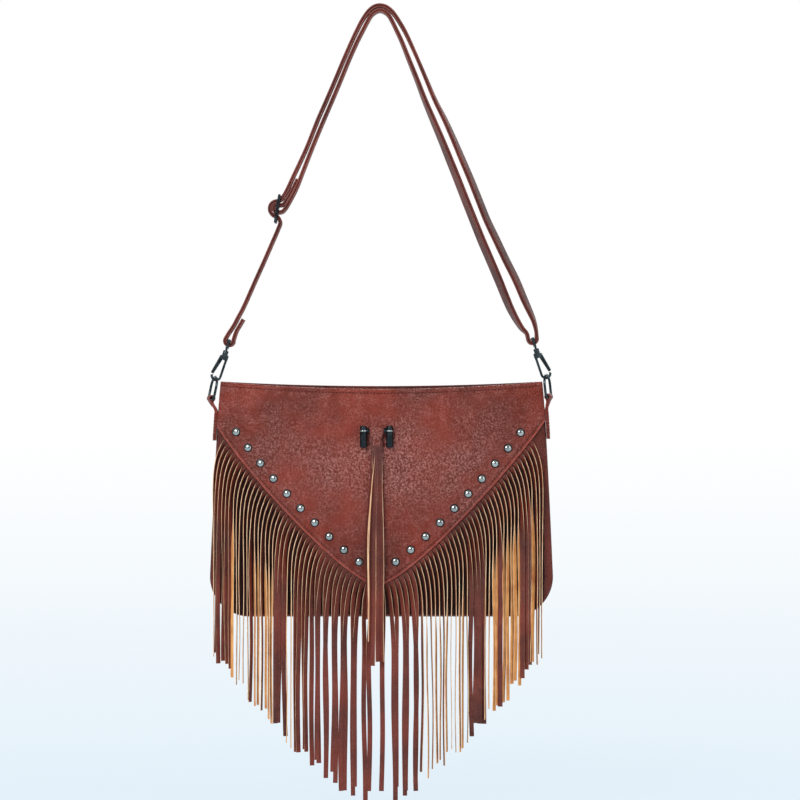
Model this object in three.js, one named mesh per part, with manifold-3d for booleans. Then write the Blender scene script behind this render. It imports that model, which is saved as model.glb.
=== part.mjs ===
// A fringed shoulder bag in grained leather, hung up by its long strap.
// Millimetres, +Z up, +X to the right of someone facing the front, the front faces -Y.
// The origin is under the doubled strap where it is hung, midway across the strap's width.

import * as THREE from 'three';
import { mergeVertices } from 'three/addons/utils/BufferGeometryUtils.js';
import Module from 'manifold-3d';

const wasm = await Module();
wasm.setup();

// Driving dimensions
const clearance = 0.3;

// Body of the bag
const bagCentreX = 1.5;
const bagTop = -368.5;
const bagHeight = 235;
const bagTopHalfWidth = 160.5;
const bagFlare = 11;
const bagFlareCurve = 0.75;
const bagCornerRadius = 40;
const mouthSag = { front: 7.5, back: 4.5 };
const mouthHalfDepth = 10.5;
const bellyHalfDepth = 17;
const bellyShare = 0.6;
const panelThickness = 1.4;
const liningThickness = 0.7;
const liningReach = 0.96;
const liningBottomShare = 0.985;
const liningTopShare = 0.02;

// Yoke and its V shaped seam
const yokeThickness = 1.2;
const yokeGap = 0.6;
const yokeLiftMargin = 0.8;
const yokeLiftRun = 2.2;
const seamCentreX = -2.5;
const seamTipHeight = 32.5;
const seamTipReach = 30;
const seamShoulderReach = 138;
const seamShoulderDrop = 83.5;
const seamEndDrop = { left: 45, right: 39 };

// Fringe
const fringePitch = 5.3;
const fringeStripWidth = 4.6;
const fringeThickness = 1;
const fringeBandThickness = 1.3;
const fringeLength = 214;
const fringeLengthVariation = 7;
const fringeBend = 16;
const fringeTurn = THREE.MathUtils.degToRad(55);
const fringeTurnLength = 26;
const fringeBareEnd = { left: 14, right: 24 };
const fringeBandWidth = 5.5;
const fringeBandInset = 0.5;
const fringeSeat = 0.5;

// Studs
const studCount = 10;
const studRadius = 4.4;
const studHeight = 2.5;
const studInset = 13.2;
const studFirst = 29;
const studLast = 212;

// Tassel
const tasselX = -3.3;
const tasselCrossBarDrop = 49;
const tasselBarSpacing = 26;
const tasselBarRadius = 3.6;
const tasselBarLength = 21.5;
const tasselBarRise = 4.8;
const tasselCrossBarRadius = 1.9;
const tasselCollarRadius = 2.7;
const tasselCollarLength = 2.4;
const tasselSaddleHalfWidth = 7.2;
const tasselNeckHalfWidth = 4.2;
const tasselNeckDrop = 14;
const tasselSaddleRise = 4.2;
const tasselSaddleShoulder = 2.6;
const tasselSaddleFoot = 5;
const tasselStripOverlap = 4;
const tasselLength = 233;
const tasselSpread = 9.5;
const tasselStripWidth = 4.4;
const tasselStripThickness = 1.3;
const tasselStripClearance = 7.8;

// Zip
const zipDrop = 14.5;
const zipTapeWidth = 4.2;
const zipTapeThickness = 0.8;
const zipReach = 0.8;
const zipTeethWidth = 1.2;
const zipTeethHeight = 1.8;
const zipHalfGapLeast = 1.5;
const zipSliderInset = 47;
const zipSliderLength = 11;
const zipSliderWidth = 8.4;
const zipSliderPlate = 1;
const zipPullerLength = 24;
const zipPullerWidth = 4.6;
const zipPullerThickness = 1.2;

// Strap
const strapWidth = 13;
const strapThickness = 3.9;
const strapCorner = 1.1;
const apexRise = 2.4;
const apexGap = 0.8;
const strapLoopSlack = 0.4;

// The strap's free runs, as shares across and down from the top to the eye on that side, with the
// turn of its face in degrees
const leftRunUp = [[0.8239, 0.814], [0.7641, 0.753]];
const leftRunTop = [
  [0.4917, 0.4177], [0.412, 0.3262], [0.3535, 0.2652], [0.2963, 0.2043], [0.2392, 0.1418], [0.1821, 0.0823],
  [0.1488, 0.0506], [0.1176, 0.0232],
];
const backRun = [
  [0.0824, 0.0268], [0.113, 0.0537], [0.1449, 0.0823], [0.1993, 0.1372], [0.2591, 0.2043], [0.315, 0.2652],
  [0.3721, 0.3262], [0.4385, 0.3994], [0.5116, 0.4848],
];
const rightOuterRun = [
  [0.118, 0.0215, 0], [0.1574, 0.0521, 0], [0.1902, 0.0828, 1], [0.2492, 0.1442, 3], [0.3049, 0.2055, 5],
  [0.3607, 0.2669, 8], [0.4262, 0.3282, 12], [0.4852, 0.3896, 15], [0.541, 0.4509, 18], [0.5967, 0.5123, 19],
  [0.6492, 0.5736, 20], [0.7016, 0.635, 21], [0.7639, 0.6963, 22], [0.8262, 0.7577, 22], [0.8918, 0.819, 22],
  [0.9475, 0.8804, 20],
];
const rightInnerRun = [
  [0.8302, 0.8804, 20], [0.777, 0.819, 22], [0.7213, 0.7577, 22], [0.6649, 0.6963, 22], [0.6125, 0.635, 21],
  [0.56, 0.5736, 20], [0.5089, 0.5123, 19], [0.4564, 0.4509, 18], [0.4033, 0.3896, 15], [0.3475, 0.3282, 12],
  [0.2925, 0.2669, 8], [0.2426, 0.2055, 5], [0.1902, 0.1442, 3], [0.1377, 0.0828, 1], [0.1023, 0.0479, 0],
  [0.0761, 0.0227, 0],
];

// The strap where it comes up to an eye, the slider or the top, in millimetres beside and above it
const besideLeftEnd = [[14.1, 21.6], [10.5, 15.4], [7.3, 9.8]];
const besideLeftEye = [[-1.4, 6.2], [2.1, 11.4], [5.3, 16.6], [8.3, 22.4], [13.5, 32]];
const besideRightEyeOuter = [[-3, 28, 16], [0.9, 19, 10], [3.5, 9, 4]];
const besideRightEyeInner = [[-5.9, 5.4, 0], [-10.5, 10.4, 6], [-15.9, 18.6, 12], [-21.5, 29, 17]];
const belowSlider = [[-5, -33.5], [0.8, -20], [2.8, -13.6]];
const aboveSlider = [[4, 9.6], [6.6, 13.4], [10, 19.4], [14.4, 29]];
const intoSlider = [[21, 25.4], [18, 18.4], [14.4, 11.4], [11.2, 5.6], [7.8, 0], [4.6, -3]];
const outOfSlider = [[5.8, 4.2], [8.8, 8], [12, 13.4], [15.5, 20], [20.2, 29.6]];
const overTop = [[-11.5, -5.9], [-6, -1.4], [0, 0], [6, -1.4], [12, -5.9]];
const underTop = [[7.4, -3.4], [0, 0], [-7.6, -3.8]];
const sliderPlace = [0.6804, 0.59756];

// Strap slider
const sliderBarSpacing = 13;
const sliderBarRadius = 1.2;
const sliderTilt = THREE.MathUtils.degToRad(9);
const sliderRailThickness = 2.2;

// Snap hooks, measured along and across the hook from its eye bar
const eyeInset = { left: 8.5, right: 9.5 };
const eyeRise = { left: 40.5, right: 42.5 };
const hookTilt = THREE.MathUtils.degToRad(18.7);
const hookYaw = THREE.MathUtils.degToRad(10);
const eyeBarRadius = 1.6;
const eyeFrameRadius = 1.2;
const eyeFrameDrop = 8.4;
const swivelPinRadius = 1.1;
const swivelHeadRadius = 1.7;
const swivelBarrelRadius = 2.9;
const swivelBarrelTop = 10.2;
const swivelBarrelBottom = 15;
const hookLimbRadius = 1.25;
const hookLimbX = -2.9;
const hookBottom = 41.5;
const hookTipX = 6;
const hookTipTop = 37.6;
const gatePivot = { x: 2.2, drop: 17.4 };
const gatePivotRadius = 0.9;
const gateHubRadius = 2.1;
const gateThickness = 2.6;
const gateNose = { x: 6.1, drop: 36 };
const gateNoseRadius = 1.5;
const hookCheekThickness = 1.1;

// D-rings and the tabs that hold them
const ringWireRadius = 1.3;
const ringHeight = 22;
const ringHalfWidth = 9;
const ringYaw = THREE.MathUtils.degToRad(20);
const ringLean = { left: THREE.MathUtils.degToRad(12), right: THREE.MathUtils.degToRad(6) };
const ringSeatGap = 0.5;
const tabWidth = 9;
const tabThickness = 1.6;
const tabLoopRadius = 2.9;
const tabLoopFrom = -30;
const tabLoopTo = 210;
const tabNeckDrop = 13;
const tabLength = 42;

// Materials
function finish(color, roughness, metalness) {
  return new THREE.MeshStandardMaterial({ color, roughness, metalness });
}

const leather = finish(0x7c3b30, 0.55, 0);
const fringeLeather = finish(0x86412f, 0.6, 0);
const liningCloth = finish(0x2b211f, 0.9, 0);
const zipCloth = finish(0x33231f, 0.9, 0);
const gunmetal = finish(0x4b5054, 0.3, 1);

const sides = { left: -1, right: 1 };
const up = new THREE.Vector3(0, 0, 1);
const widthways = new THREE.Vector3(0, 1, 0);
const bagBottom = bagTop - bagHeight;
const seamHalfGap = clearance / 2;

// The eye bars hang above the bag's top corners, and the strap's slider part way up the left run
function eyePlace(side) {
  return {
    x: bagCentreX + sides[side] * (bagTopHalfWidth - eyeInset[side]),
    z: bagTop + eyeRise[side],
  };
}

const eye = { left: eyePlace('left'), right: eyePlace('right') };
const sliderMiddle = { x: eye.left.x * sliderPlace[0], z: eye.left.z * sliderPlace[1] };

const bag = new THREE.Group();

function addMesh(name, geometry, material, parent = bag) {
  const mesh = new THREE.Mesh(geometry, material);
  mesh.name = name;
  parent.add(mesh);
  return mesh;
}

// Solids from points

function signedVolume(points, faces) {
  let sum = 0;
  for (const [a, b, c] of faces) {
    sum += points[a].dot(new THREE.Vector3().crossVectors(points[b], points[c]));
  }
  return sum / 6;
}

function solid(points, faces) {
  const outward = signedVolume(points, faces) > 0 ? faces : faces.map(([a, b, c]) => [a, c, b]);
  const geometry = new THREE.BufferGeometry().setFromPoints(points);
  geometry.setIndex(outward.flat());
  geometry.computeVertexNormals();
  return geometry;
}

// A sheet with thickness: two grids of points, joined round their edge
function sheet(outer, inner) {
  const rows = outer.length;
  const columns = outer[0].length;
  const size = rows * columns;
  const points = [...outer.flat(), ...inner.flat()];
  const faces = [];
  const quad = (a, b, c, d) => faces.push([a, b, c], [a, c, d]);
  for (let j = 0; j + 1 < rows; j += 1) {
    for (let i = 0; i + 1 < columns; i += 1) {
      const k = j * columns + i;
      quad(k, k + 1, k + columns + 1, k + columns);
      quad(size + k, size + k + columns, size + k + columns + 1, size + k + 1);
    }
  }
  for (let i = 0; i + 1 < columns; i += 1) {
    const k = (rows - 1) * columns + i;
    quad(i + 1, i, size + i, size + i + 1);
    quad(k, k + 1, size + k + 1, size + k);
  }
  for (let j = 0; j + 1 < rows; j += 1) {
    const k = j * columns;
    const m = k + columns - 1;
    quad(k, k + columns, size + k + columns, size + k);
    quad(m + columns, m, size + m, size + m + columns);
  }
  return solid(points, faces);
}

// A solid through rings of points, closed by a fan at each end or joined into a loop
function loft(rings, looped = false) {
  const round = rings[0].length;
  const points = rings.flat();
  const faces = [];
  const spans = looped ? rings.length : rings.length - 1;
  for (let j = 0; j < spans; j += 1) {
    const near = j * round;
    const far = ((j + 1) % rings.length) * round;
    for (let i = 0; i < round; i += 1) {
      const next = (i + 1) % round;
      faces.push([near + i, near + next, far + next], [near + i, far + next, far + i]);
    }
  }
  if (!looped) {
    const last = points.length - round;
    for (let i = 1; i + 1 < round; i += 1) {
      faces.push([0, i + 1, i], [last, last + i, last + i + 1]);
    }
  }
  return solid(points, faces);
}

// A section carried along a path: each section point is [across the path in its plane, widthways]
function sweep(path, sectionAt, looped = false) {
  const count = path.length;
  const rings = path.map((point, i) => {
    const before = path[looped ? (i + count - 1) % count : Math.max(i - 1, 0)];
    const after = path[looped ? (i + 1) % count : Math.min(i + 1, count - 1)];
    const run = after.clone().sub(before).normalize();
    const across = new THREE.Vector3().crossVectors(widthways, run).normalize();
    const wide = new THREE.Vector3().crossVectors(run, across);
    return sectionAt(i).map(([a, b]) => point.clone().addScaledVector(across, a).addScaledVector(wide, b));
  });
  return loft(rings, looped);
}

function circle(radius, count) {
  const section = [];
  for (let i = 0; i < count; i += 1) {
    const angle = (i + 0.5) / count * 2 * Math.PI;
    section.push([radius * Math.cos(angle), radius * Math.sin(angle)]);
  }
  return section;
}

function rectangle(across, wide, turn = 0) {
  const p = across / 2;
  const q = wide / 2;
  return [[-p, -q], [p, -q], [p, q], [-p, q]].map(([a, b]) => rotate(a, b, turn));
}

function softRectangle(across, wide, corner, turn = 0) {
  const a = across / 2;
  const b = wide / 2;
  const corners = [
    [-a, -b + corner], [-a + corner, -b], [a - corner, -b], [a, -b + corner],
    [a, b - corner], [a - corner, b], [-a + corner, b], [-a, b - corner],
  ];
  return corners.map(([p, q]) => rotate(p, q, turn));
}

function rotate(a, b, turn) {
  const cos = Math.cos(turn);
  const sin = Math.sin(turn);
  return [a * cos - b * sin, a * sin + b * cos];
}

function arc(x, z, radius, from, to, count) {
  const points = [];
  for (let i = 0; i <= count; i += 1) {
    const angle = THREE.MathUtils.degToRad(from + (to - from) * i / count);
    points.push(new THREE.Vector3(x + radius * Math.cos(angle), 0, z + radius * Math.sin(angle)));
  }
  return points;
}

function smooth(t) {
  const s = Math.min(1, Math.max(0, t));
  return s * s * (3 - 2 * s);
}

// Booleans

function manifold(geometry) {
  const bare = geometry.clone();
  bare.deleteAttribute('normal');
  bare.deleteAttribute('uv');
  const merged = mergeVertices(bare, 1e-4);
  return new wasm.Manifold(new wasm.Mesh({
    numProp: 3,
    vertProperties: new Float32Array(merged.attributes.position.array),
    triVerts: new Uint32Array(merged.index.array),
  }));
}

function geometryOf(joined) {
  const mesh = joined.getMesh();
  const geometry = new THREE.BufferGeometry();
  geometry.setAttribute('position', new THREE.BufferAttribute(new Float32Array(mesh.vertProperties), 3));
  geometry.setIndex([...mesh.triVerts]);
  geometry.computeVertexNormals();
  return geometry;
}

function join(geometries) {
  return geometryOf(geometries.map(manifold).reduce((whole, piece) => whole.add(piece)));
}

function cut(geometry, tools) {
  return geometryOf(tools.map(manifold).reduce((whole, tool) => whole.subtract(tool), manifold(geometry)));
}

// The bag's outline and depth, by a share across (-1 to 1) and a share down (0 to 1)

function topAt(u, side = -1) {
  return bagTop - (side < 0 ? mouthSag.front : mouthSag.back) * (1 - u * u);
}

function halfWidthAt(z) {
  const down = bagTop - z;
  const straight = bagHeight - bagCornerRadius;
  const turn = Math.min(bagCornerRadius, Math.max(0, down - straight));
  const corner = bagCornerRadius - Math.sqrt(bagCornerRadius ** 2 - turn ** 2);
  return bagTopHalfWidth + bagFlare * Math.min(1, Math.max(0, down / straight)) ** bagFlareCurve - corner;
}

function halfDepthAt(u, v) {
  const across = (1 - Math.min(1, Math.abs(u)) ** 2.5) ** 0.8;
  const swell = Math.sin(Math.PI / 2 * Math.min(1, v / bellyShare));
  const rise = mouthHalfDepth + (bellyHalfDepth - mouthHalfDepth) * swell;
  const foot = Math.sqrt(1 - Math.min(1, Math.max(0, v)) ** 6);
  return seamHalfGap + rise * across * foot;
}

function bagPoint(u, v, offset, side = -1) {
  const top = topAt(u, side);
  const z = top + (bagBottom - top) * v;
  return new THREE.Vector3(bagCentreX + u * halfWidthAt(z), side * (halfDepthAt(u, v) + offset), z);
}

// How far the base panel's outer face stands forward at a place
function frontAt(x, z) {
  const u = (x - bagCentreX) / halfWidthAt(Math.max(z, bagBottom));
  const v = (topAt(u) - z) / (topAt(u) - bagBottom);
  return halfDepthAt(u, v) + panelThickness;
}

function shares(count, from, to) {
  return Array.from({ length: count + 1 }, (_, i) => from + (to - from) * i / count);
}

const bagColumns = shares(18, -1, 1).map((s) => Math.sin(Math.PI / 2 * s));
const bagRows = shares(10, 0, 1).map((s) => Math.sin(Math.PI / 2 * s));

function bagGrid(columns, rows, offset, side) {
  return rows.map((v) => columns.map((u) => bagPoint(u, v, offset, side)));
}

function panel(side) {
  return sheet(
    bagGrid(bagColumns, bagRows, panelThickness, side),
    bagGrid(bagColumns, bagRows, 0, side),
  );
}

// The lining is a pouch: an outer and an inner skin, joined round the mouth
function lining() {
  const columns = bagColumns.filter((u) => Math.abs(u) < liningReach);
  const rows = bagRows.filter((v) => v < liningBottomShare);
  rows[0] = liningTopShare;
  const skin = (offset, squeeze, raise) => rows.map((v, j) => {
    const share = j === rows.length - 1 ? v - raise : v;
    const ring = (side) => columns.map((u) => bagPoint(u * squeeze, share, offset, side));
    return [...ring(-1), ...ring(1).reverse()];
  });
  const outer = skin(-clearance, 1, 0);
  const squeezed = 1 - liningThickness / bagTopHalfWidth;
  const inner = skin(-clearance - liningThickness, squeezed, liningThickness / bagHeight);
  const round = outer[0].length;
  const size = outer.length * round;
  const points = [...outer.flat(), ...inner.flat()];
  const faces = [];
  const quad = (a, b, c, d) => faces.push([a, b, c], [a, c, d]);
  for (let i = 0; i < round; i += 1) {
    const next = (i + 1) % round;
    for (let j = 0; j + 1 < outer.length; j += 1) {
      const k = j * round;
      quad(k + i, k + next, k + round + next, k + round + i);
      quad(size + k + i, size + k + round + i, size + k + round + next, size + k + next);
    }
    quad(next, i, size + i, size + next);
  }
  const foot = size - round;
  for (let i = 0; i + 1 < columns.length; i += 1) {
    const facing = round - 1 - i;
    quad(foot + i, foot + i + 1, foot + facing - 1, foot + facing);
    quad(size + foot + i, size + foot + facing, size + foot + facing - 1, size + foot + i + 1);
  }
  return solid(points, faces);
}

// The V seam, one curve a side, from its tip at the middle out to the side seam

const seamTipZ = bagBottom + seamTipHeight;

function seamCurve(side) {
  const sign = sides[side];
  const endZ = bagTop - seamEndDrop[side];
  return new THREE.CubicBezierCurve3(
    new THREE.Vector3(seamCentreX, 0, seamTipZ),
    new THREE.Vector3(seamCentreX + sign * seamTipReach, 0, seamTipZ),
    new THREE.Vector3(seamCentreX + sign * seamShoulderReach, 0, bagTop - seamShoulderDrop),
    new THREE.Vector3(bagCentreX + sign * halfWidthAt(endZ), 0, endZ),
  );
}

const seams = { left: seamCurve('left'), right: seamCurve('right') };

// A place beside the seam: so far along it from the tip, and so far in above it
function besideSeam(side, along, inward) {
  const curve = seams[side];
  const share = Math.min(1, along / curve.getLength());
  const run = curve.getTangentAt(share);
  const rise = new THREE.Vector3(-run.z, 0, run.x).multiplyScalar(sides[side]);
  return curve.getPointAt(share).addScaledVector(rise, inward);
}

// The seam at a place across the bag: its height, and how level it runs there (1 is level)
function seamAt(x) {
  const curve = x < seamCentreX ? seams.left : seams.right;
  const reach = Math.abs(x - seamCentreX);
  let low = 0;
  let high = 1;
  for (let i = 0; i < 24; i += 1) {
    const middle = (low + high) / 2;
    if (Math.abs(curve.getPoint(middle).x - seamCentreX) < reach) {
      low = middle;
    } else {
      high = middle;
    }
  }
  return { z: curve.getPoint(low).z, level: Math.abs(curve.getTangent(low).x) };
}

// The yoke lies close to the base panel, and lifts over the fringe's band beside the seam
const bandTop = fringeSeat + fringeBandThickness;

function liftEndAbove(level) {
  return (fringeBandWidth + yokeLiftMargin) / level;
}

function yokeOffset(above, level) {
  const lift = bandTop + fringeSeat - yokeGap;
  const share = 1 - (above - liftEndAbove(level)) / yokeLiftRun;
  return yokeGap + lift * Math.min(1, Math.max(0, share));
}

function yoke() {
  const perSide = 14;
  const rowsAbove = 5;
  const left = shares(perSide, 1, 0).map((t) => [seams.left, t]);
  const right = shares(perSide, 0, 1).slice(1).map((t) => [seams.right, t]);
  const columns = [...left, ...right].map(([curve, t]) => {
    const foot = curve.getPoint(t);
    const level = Math.abs(curve.getTangent(t).x);
    const u = Math.min(1, Math.max(-1, (foot.x - bagCentreX) / halfWidthAt(foot.z)));
    const top = topAt(u);
    const liftEnd = foot.z + liftEndAbove(level);
    const heights = [...shares(rowsAbove, top, liftEnd + yokeLiftRun), liftEnd, foot.z];
    return heights.map((z) => ({ u, z, top, offset: yokeOffset(z - foot.z, level) }));
  });
  const face = (thickness) => columns[0].map((_, j) => columns.map((column) => {
    const { u, z, top, offset } = column[j];
    return bagPoint(u, (top - z) / (top - bagBottom), panelThickness + offset + thickness);
  }));
  return sheet(face(yokeThickness), face(0));
}

// Fringe: a band sewn in under the yoke's edge, and strips that swing down from it

function stripReach(width, thickness, turn) {
  return (width * Math.abs(Math.sin(turn)) + thickness * Math.abs(Math.cos(turn))) / 2;
}

function fringeStrip(side, along, length) {
  const curve = seams[side];
  const run = curve.getTangentAt(along / curve.getLength());
  const startTilt = Math.atan2(Math.abs(run.z), Math.abs(run.x));
  const root = fringeBandInset + 1;
  const start = besideSeam(side, along, root);
  const point = start.clone();
  const path = [];
  const turns = [];
  const segments = 5;
  const finest = 80;
  const seat = fringeSeat + (fringeBandThickness - fringeThickness) / 2;
  let proud = 0;
  let next = 0;
  for (let i = 0; i <= finest; i += 1) {
    const share = i / finest;
    const run = length * share;
    const turn = fringeTurn * smooth((run - root) / fringeTurnLength);
    const reach = seat + stripReach(fringeStripWidth, fringeThickness, turn);
    proud = Math.max(proud, frontAt(point.x, point.z) + reach);
    if (share >= (next / segments) ** 1.6 - 1e-9) {
      path.push(new THREE.Vector3(point.x, -proud, point.z));
      turns.push(turn * sides[side]);
      next += 1;
    }
    const tilt = startTilt * Math.exp(-run / fringeBend);
    point.x += sides[side] * Math.sin(tilt) * length / finest;
    point.z -= Math.cos(tilt) * length / finest;
  }
  return sweep(path, (i) => rectangle(fringeStripWidth, fringeThickness, turns[i]));
}

function fringeBand(side) {
  const end = seams[side].getLength() - fringeBareEnd[side];
  const placeAt = (along, inward, offset) => {
    const place = besideSeam(side, along, inward);
    return place.setY(-frontAt(place.x, place.z) - offset);
  };
  const edge = (inward, offset) => shares(16, 1, end).map((along) => placeAt(along, inward, offset));
  const face = (offset) => [edge(fringeBandWidth, offset), edge(fringeBandInset, offset)];
  return sheet(face(bandTop), face(fringeSeat));
}

// A repeatable variation between -1 and 1
function variation(index) {
  const wave = Math.sin(index * 12.9898 + 4.1414) * 43758.5453;
  return 2 * (wave - Math.floor(wave)) - 1;
}

function fringe(side) {
  const end = seams[side].getLength() - fringeBareEnd[side];
  const strips = [];
  for (let along = fringePitch / 2 + 1, k = 0; along < end; along += fringePitch, k += 1) {
    strips.push(fringeStrip(side, along, fringeLength + fringeLengthVariation * variation(k)));
  }
  return join([fringeBand(side), ...strips]);
}

// Studs

function stud() {
  const rim = studHeight * 0.2;
  const profile = [
    [0, 0], [studRadius, 0], [studRadius, rim], [studRadius * 0.64, studHeight * 0.76], [0, studHeight],
  ];
  return new THREE.LatheGeometry(profile.map(([r, h]) => new THREE.Vector2(r, h)), 8);
}

function yokeFace(x, z) {
  const seam = seamAt(x);
  return new THREE.Vector3(x, -frontAt(x, z) - yokeOffset(z - seam.z, seam.level) - yokeThickness, z);
}

function addStuds(side) {
  const pitch = (studLast - studFirst) / (studCount - 1);
  for (let i = 0; i < studCount; i += 1) {
    const { x, z } = besideSeam(side, studFirst + i * pitch, studInset);
    const slopeX = yokeFace(x + studRadius, z).sub(yokeFace(x - studRadius, z));
    const slopeZ = yokeFace(x, z + studRadius).sub(yokeFace(x, z - studRadius));
    const normal = new THREE.Vector3().crossVectors(slopeX, slopeZ).normalize();
    const mesh = addMesh(`stud_${side}_${i + 1}`, stud(), gunmetal);
    mesh.position.copy(yokeFace(x, z)).addScaledVector(normal, clearance);
    mesh.quaternion.setFromUnitVectors(widthways, normal);
  }
}

// Tassel: a metal frame of two upright bars and a cross bar, with leather folded over the cross bar

const tasselZ = bagTop - tasselCrossBarDrop;
const tasselFoot = yokeFace(tasselX, tasselZ + tasselBarRise - tasselBarLength);
const tasselY = tasselFoot.y - clearance - tasselBarRadius;

function upright(radius, length) {
  const bevel = radius * 0.3;
  const profile = [
    [0, 0], [radius - bevel, 0], [radius, bevel],
    [radius, length - bevel], [radius - bevel, length], [0, length],
  ];
  return new THREE.LatheGeometry(profile.map(([r, h]) => new THREE.Vector2(r, h)), 12);
}

function crossBar(radius, length, x) {
  return new THREE.CylinderGeometry(radius, radius, length, 12).rotateZ(Math.PI / 2).translate(x, 0, 0);
}

function tasselFrame() {
  const half = tasselBarSpacing / 2;
  const bars = [-half, half].map((x) => upright(tasselBarRadius, tasselBarLength)
    .rotateX(Math.PI / 2)
    .translate(x, 0, tasselBarRise - tasselBarLength));
  const collarX = half - tasselBarRadius - tasselCollarLength / 2 + clearance;
  const collars = [-collarX, collarX].map((x) => crossBar(tasselCollarRadius, tasselCollarLength, x));
  return join([crossBar(tasselCrossBarRadius, tasselBarSpacing, 0), ...bars, ...collars]);
}

// The leather's strips: where each starts across the neck, where it ends as shares of the spread and
// the length, and how far it is turned in degrees
const tasselStrips = [
  { from: -0.62, to: -1, down: 0.803, turn: 65 },
  { from: -0.33, to: -0.67, down: 0.897, turn: -50 },
  { from: -0.05, to: -0.34, down: 1, turn: 20 },
  { from: 0.29, to: 0.17, down: 0.983, turn: -15 },
  { from: 0.62, to: 0.57, down: 0.983, turn: 35 },
];

function tasselStrip({ from: startShare, to: endShare, down, turn }) {
  const start = startShare * tasselNeckHalfWidth;
  const x = endShare * tasselSpread;
  const steps = 6;
  const root = tasselZ - tasselNeckDrop + tasselStripOverlap / 2;
  const path = [];
  const turns = [];
  let proud = 0;
  for (let i = 0; i <= steps; i += 1) {
    const share = (i / steps) ** 1.3;
    const z = root + (tasselZ - down * tasselLength - root) * share;
    const fan = smooth(share * 1.6);
    const place = tasselX + start + (x - start) * fan;
    const settle = smooth(share * 3);
    const lift = tasselStripClearance * settle + (-tasselY - frontAt(place, root)) * (1 - settle);
    proud = Math.max(proud, frontAt(place, z) + lift);
    path.push(new THREE.Vector3(place, -proud, z));
    turns.push(THREE.MathUtils.degToRad(turn) * smooth(share * 4));
  }
  return sweep(path, (i) => rectangle(tasselStripWidth, tasselStripThickness, turns[i]));
}

function tasselLeather() {
  const depth = tasselBarRadius - clearance;
  const levels = [
    [tasselSaddleRise, tasselSaddleHalfWidth * 0.86, depth * 0.6],
    [tasselSaddleShoulder, tasselSaddleHalfWidth, depth],
    [-tasselSaddleFoot, tasselSaddleHalfWidth, depth],
    [-tasselNeckDrop * 0.75, tasselNeckHalfWidth, depth * 0.9],
    [-tasselNeckDrop - tasselStripOverlap, tasselNeckHalfWidth * 0.9, depth * 0.7],
  ];
  const rings = levels.map(([z, halfWidth, halfDepth]) => softRectangle(2 * halfWidth, 2 * halfDepth, 1)
    .map(([a, b]) => new THREE.Vector3(tasselX + a, tasselY + b, tasselZ + z)));
  const whole = join([loft(rings), ...tasselStrips.map(tasselStrip)]);
  const hole = crossBar(tasselCrossBarRadius + clearance, tasselBarSpacing, 0)
    .translate(tasselX, tasselY, tasselZ);
  return cut(whole, [hole]);
}

// Zip: two tapes with their teeth, opened, and a slider with its puller

function zipWallAt(u) {
  const z = bagTop - zipDrop;
  const v = (topAt(u) - z) / (topAt(u) - bagBottom);
  return { x: bagCentreX + u * halfWidthAt(z), depth: halfDepthAt(u, v) - clearance - liningThickness - 0.5 };
}

function zipTape(side) {
  const z = bagTop - zipDrop;
  const places = shares(18, -zipReach, zipReach).map(zipWallAt);
  const innerAt = (depth) => Math.max(zipHalfGapLeast, depth - zipTapeWidth);
  const ribbon = (halfHeight, edgesAt) => {
    const face = (height) => places.map(({ x, depth }) => edgesAt(depth)
      .map((y) => new THREE.Vector3(x, side * y, z + height)));
    return sheet(face(halfHeight), face(-halfHeight));
  };
  const tape = ribbon(zipTapeThickness / 2, (depth) => [depth, innerAt(depth)]);
  const teeth = ribbon(zipTeethHeight / 2, (depth) => [innerAt(depth) + zipTeethWidth, innerAt(depth)]);
  return join([tape, teeth]);
}

const zipZ = bagTop - zipDrop;
const zipSliderX = bagCentreX - bagTopHalfWidth + zipSliderInset;
const zipPlateZ = zipTeethHeight / 2 + clearance;
const zipPivotRadius = 0.6;
const zipHubRadius = zipPivotRadius + clearance + 0.9;
const zipPivotZ = zipPlateZ + zipSliderPlate + zipHubRadius + clearance;
const zipBridgeHeight = zipHubRadius + clearance + zipPivotRadius + 0.6;

function zipSlider() {
  const outline = new THREE.Shape();
  const length = zipSliderLength / 2;
  const width = zipSliderWidth / 2;
  outline.moveTo(-length, -width * 0.6);
  outline.lineTo(length * 0.5, -width);
  outline.lineTo(length, -width * 0.7);
  outline.lineTo(length, width * 0.7);
  outline.lineTo(length * 0.5, width);
  outline.lineTo(-length, width * 0.6);
  outline.closePath();
  const plate = (z) => new THREE.ExtrudeGeometry(outline, { depth: zipSliderPlate, bevelEnabled: false })
    .translate(0, 0, z);
  const post = new THREE.BoxGeometry(3, 1.6, 2 * zipPlateZ + 1).translate(length - 1.5, 0, 0);
  const cheek = (y) => new THREE.BoxGeometry(4, 0.8, zipBridgeHeight + 0.4)
    .translate(0, y, zipPlateZ + zipSliderPlate + zipBridgeHeight / 2 - 0.2);
  const pin = new THREE.CylinderGeometry(zipPivotRadius, zipPivotRadius, 3.6, 10).translate(0, 0, zipPivotZ);
  return join([plate(zipPlateZ), plate(-zipPlateZ - zipSliderPlate), post, cheek(-1.7), cheek(1.7), pin]);
}

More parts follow.
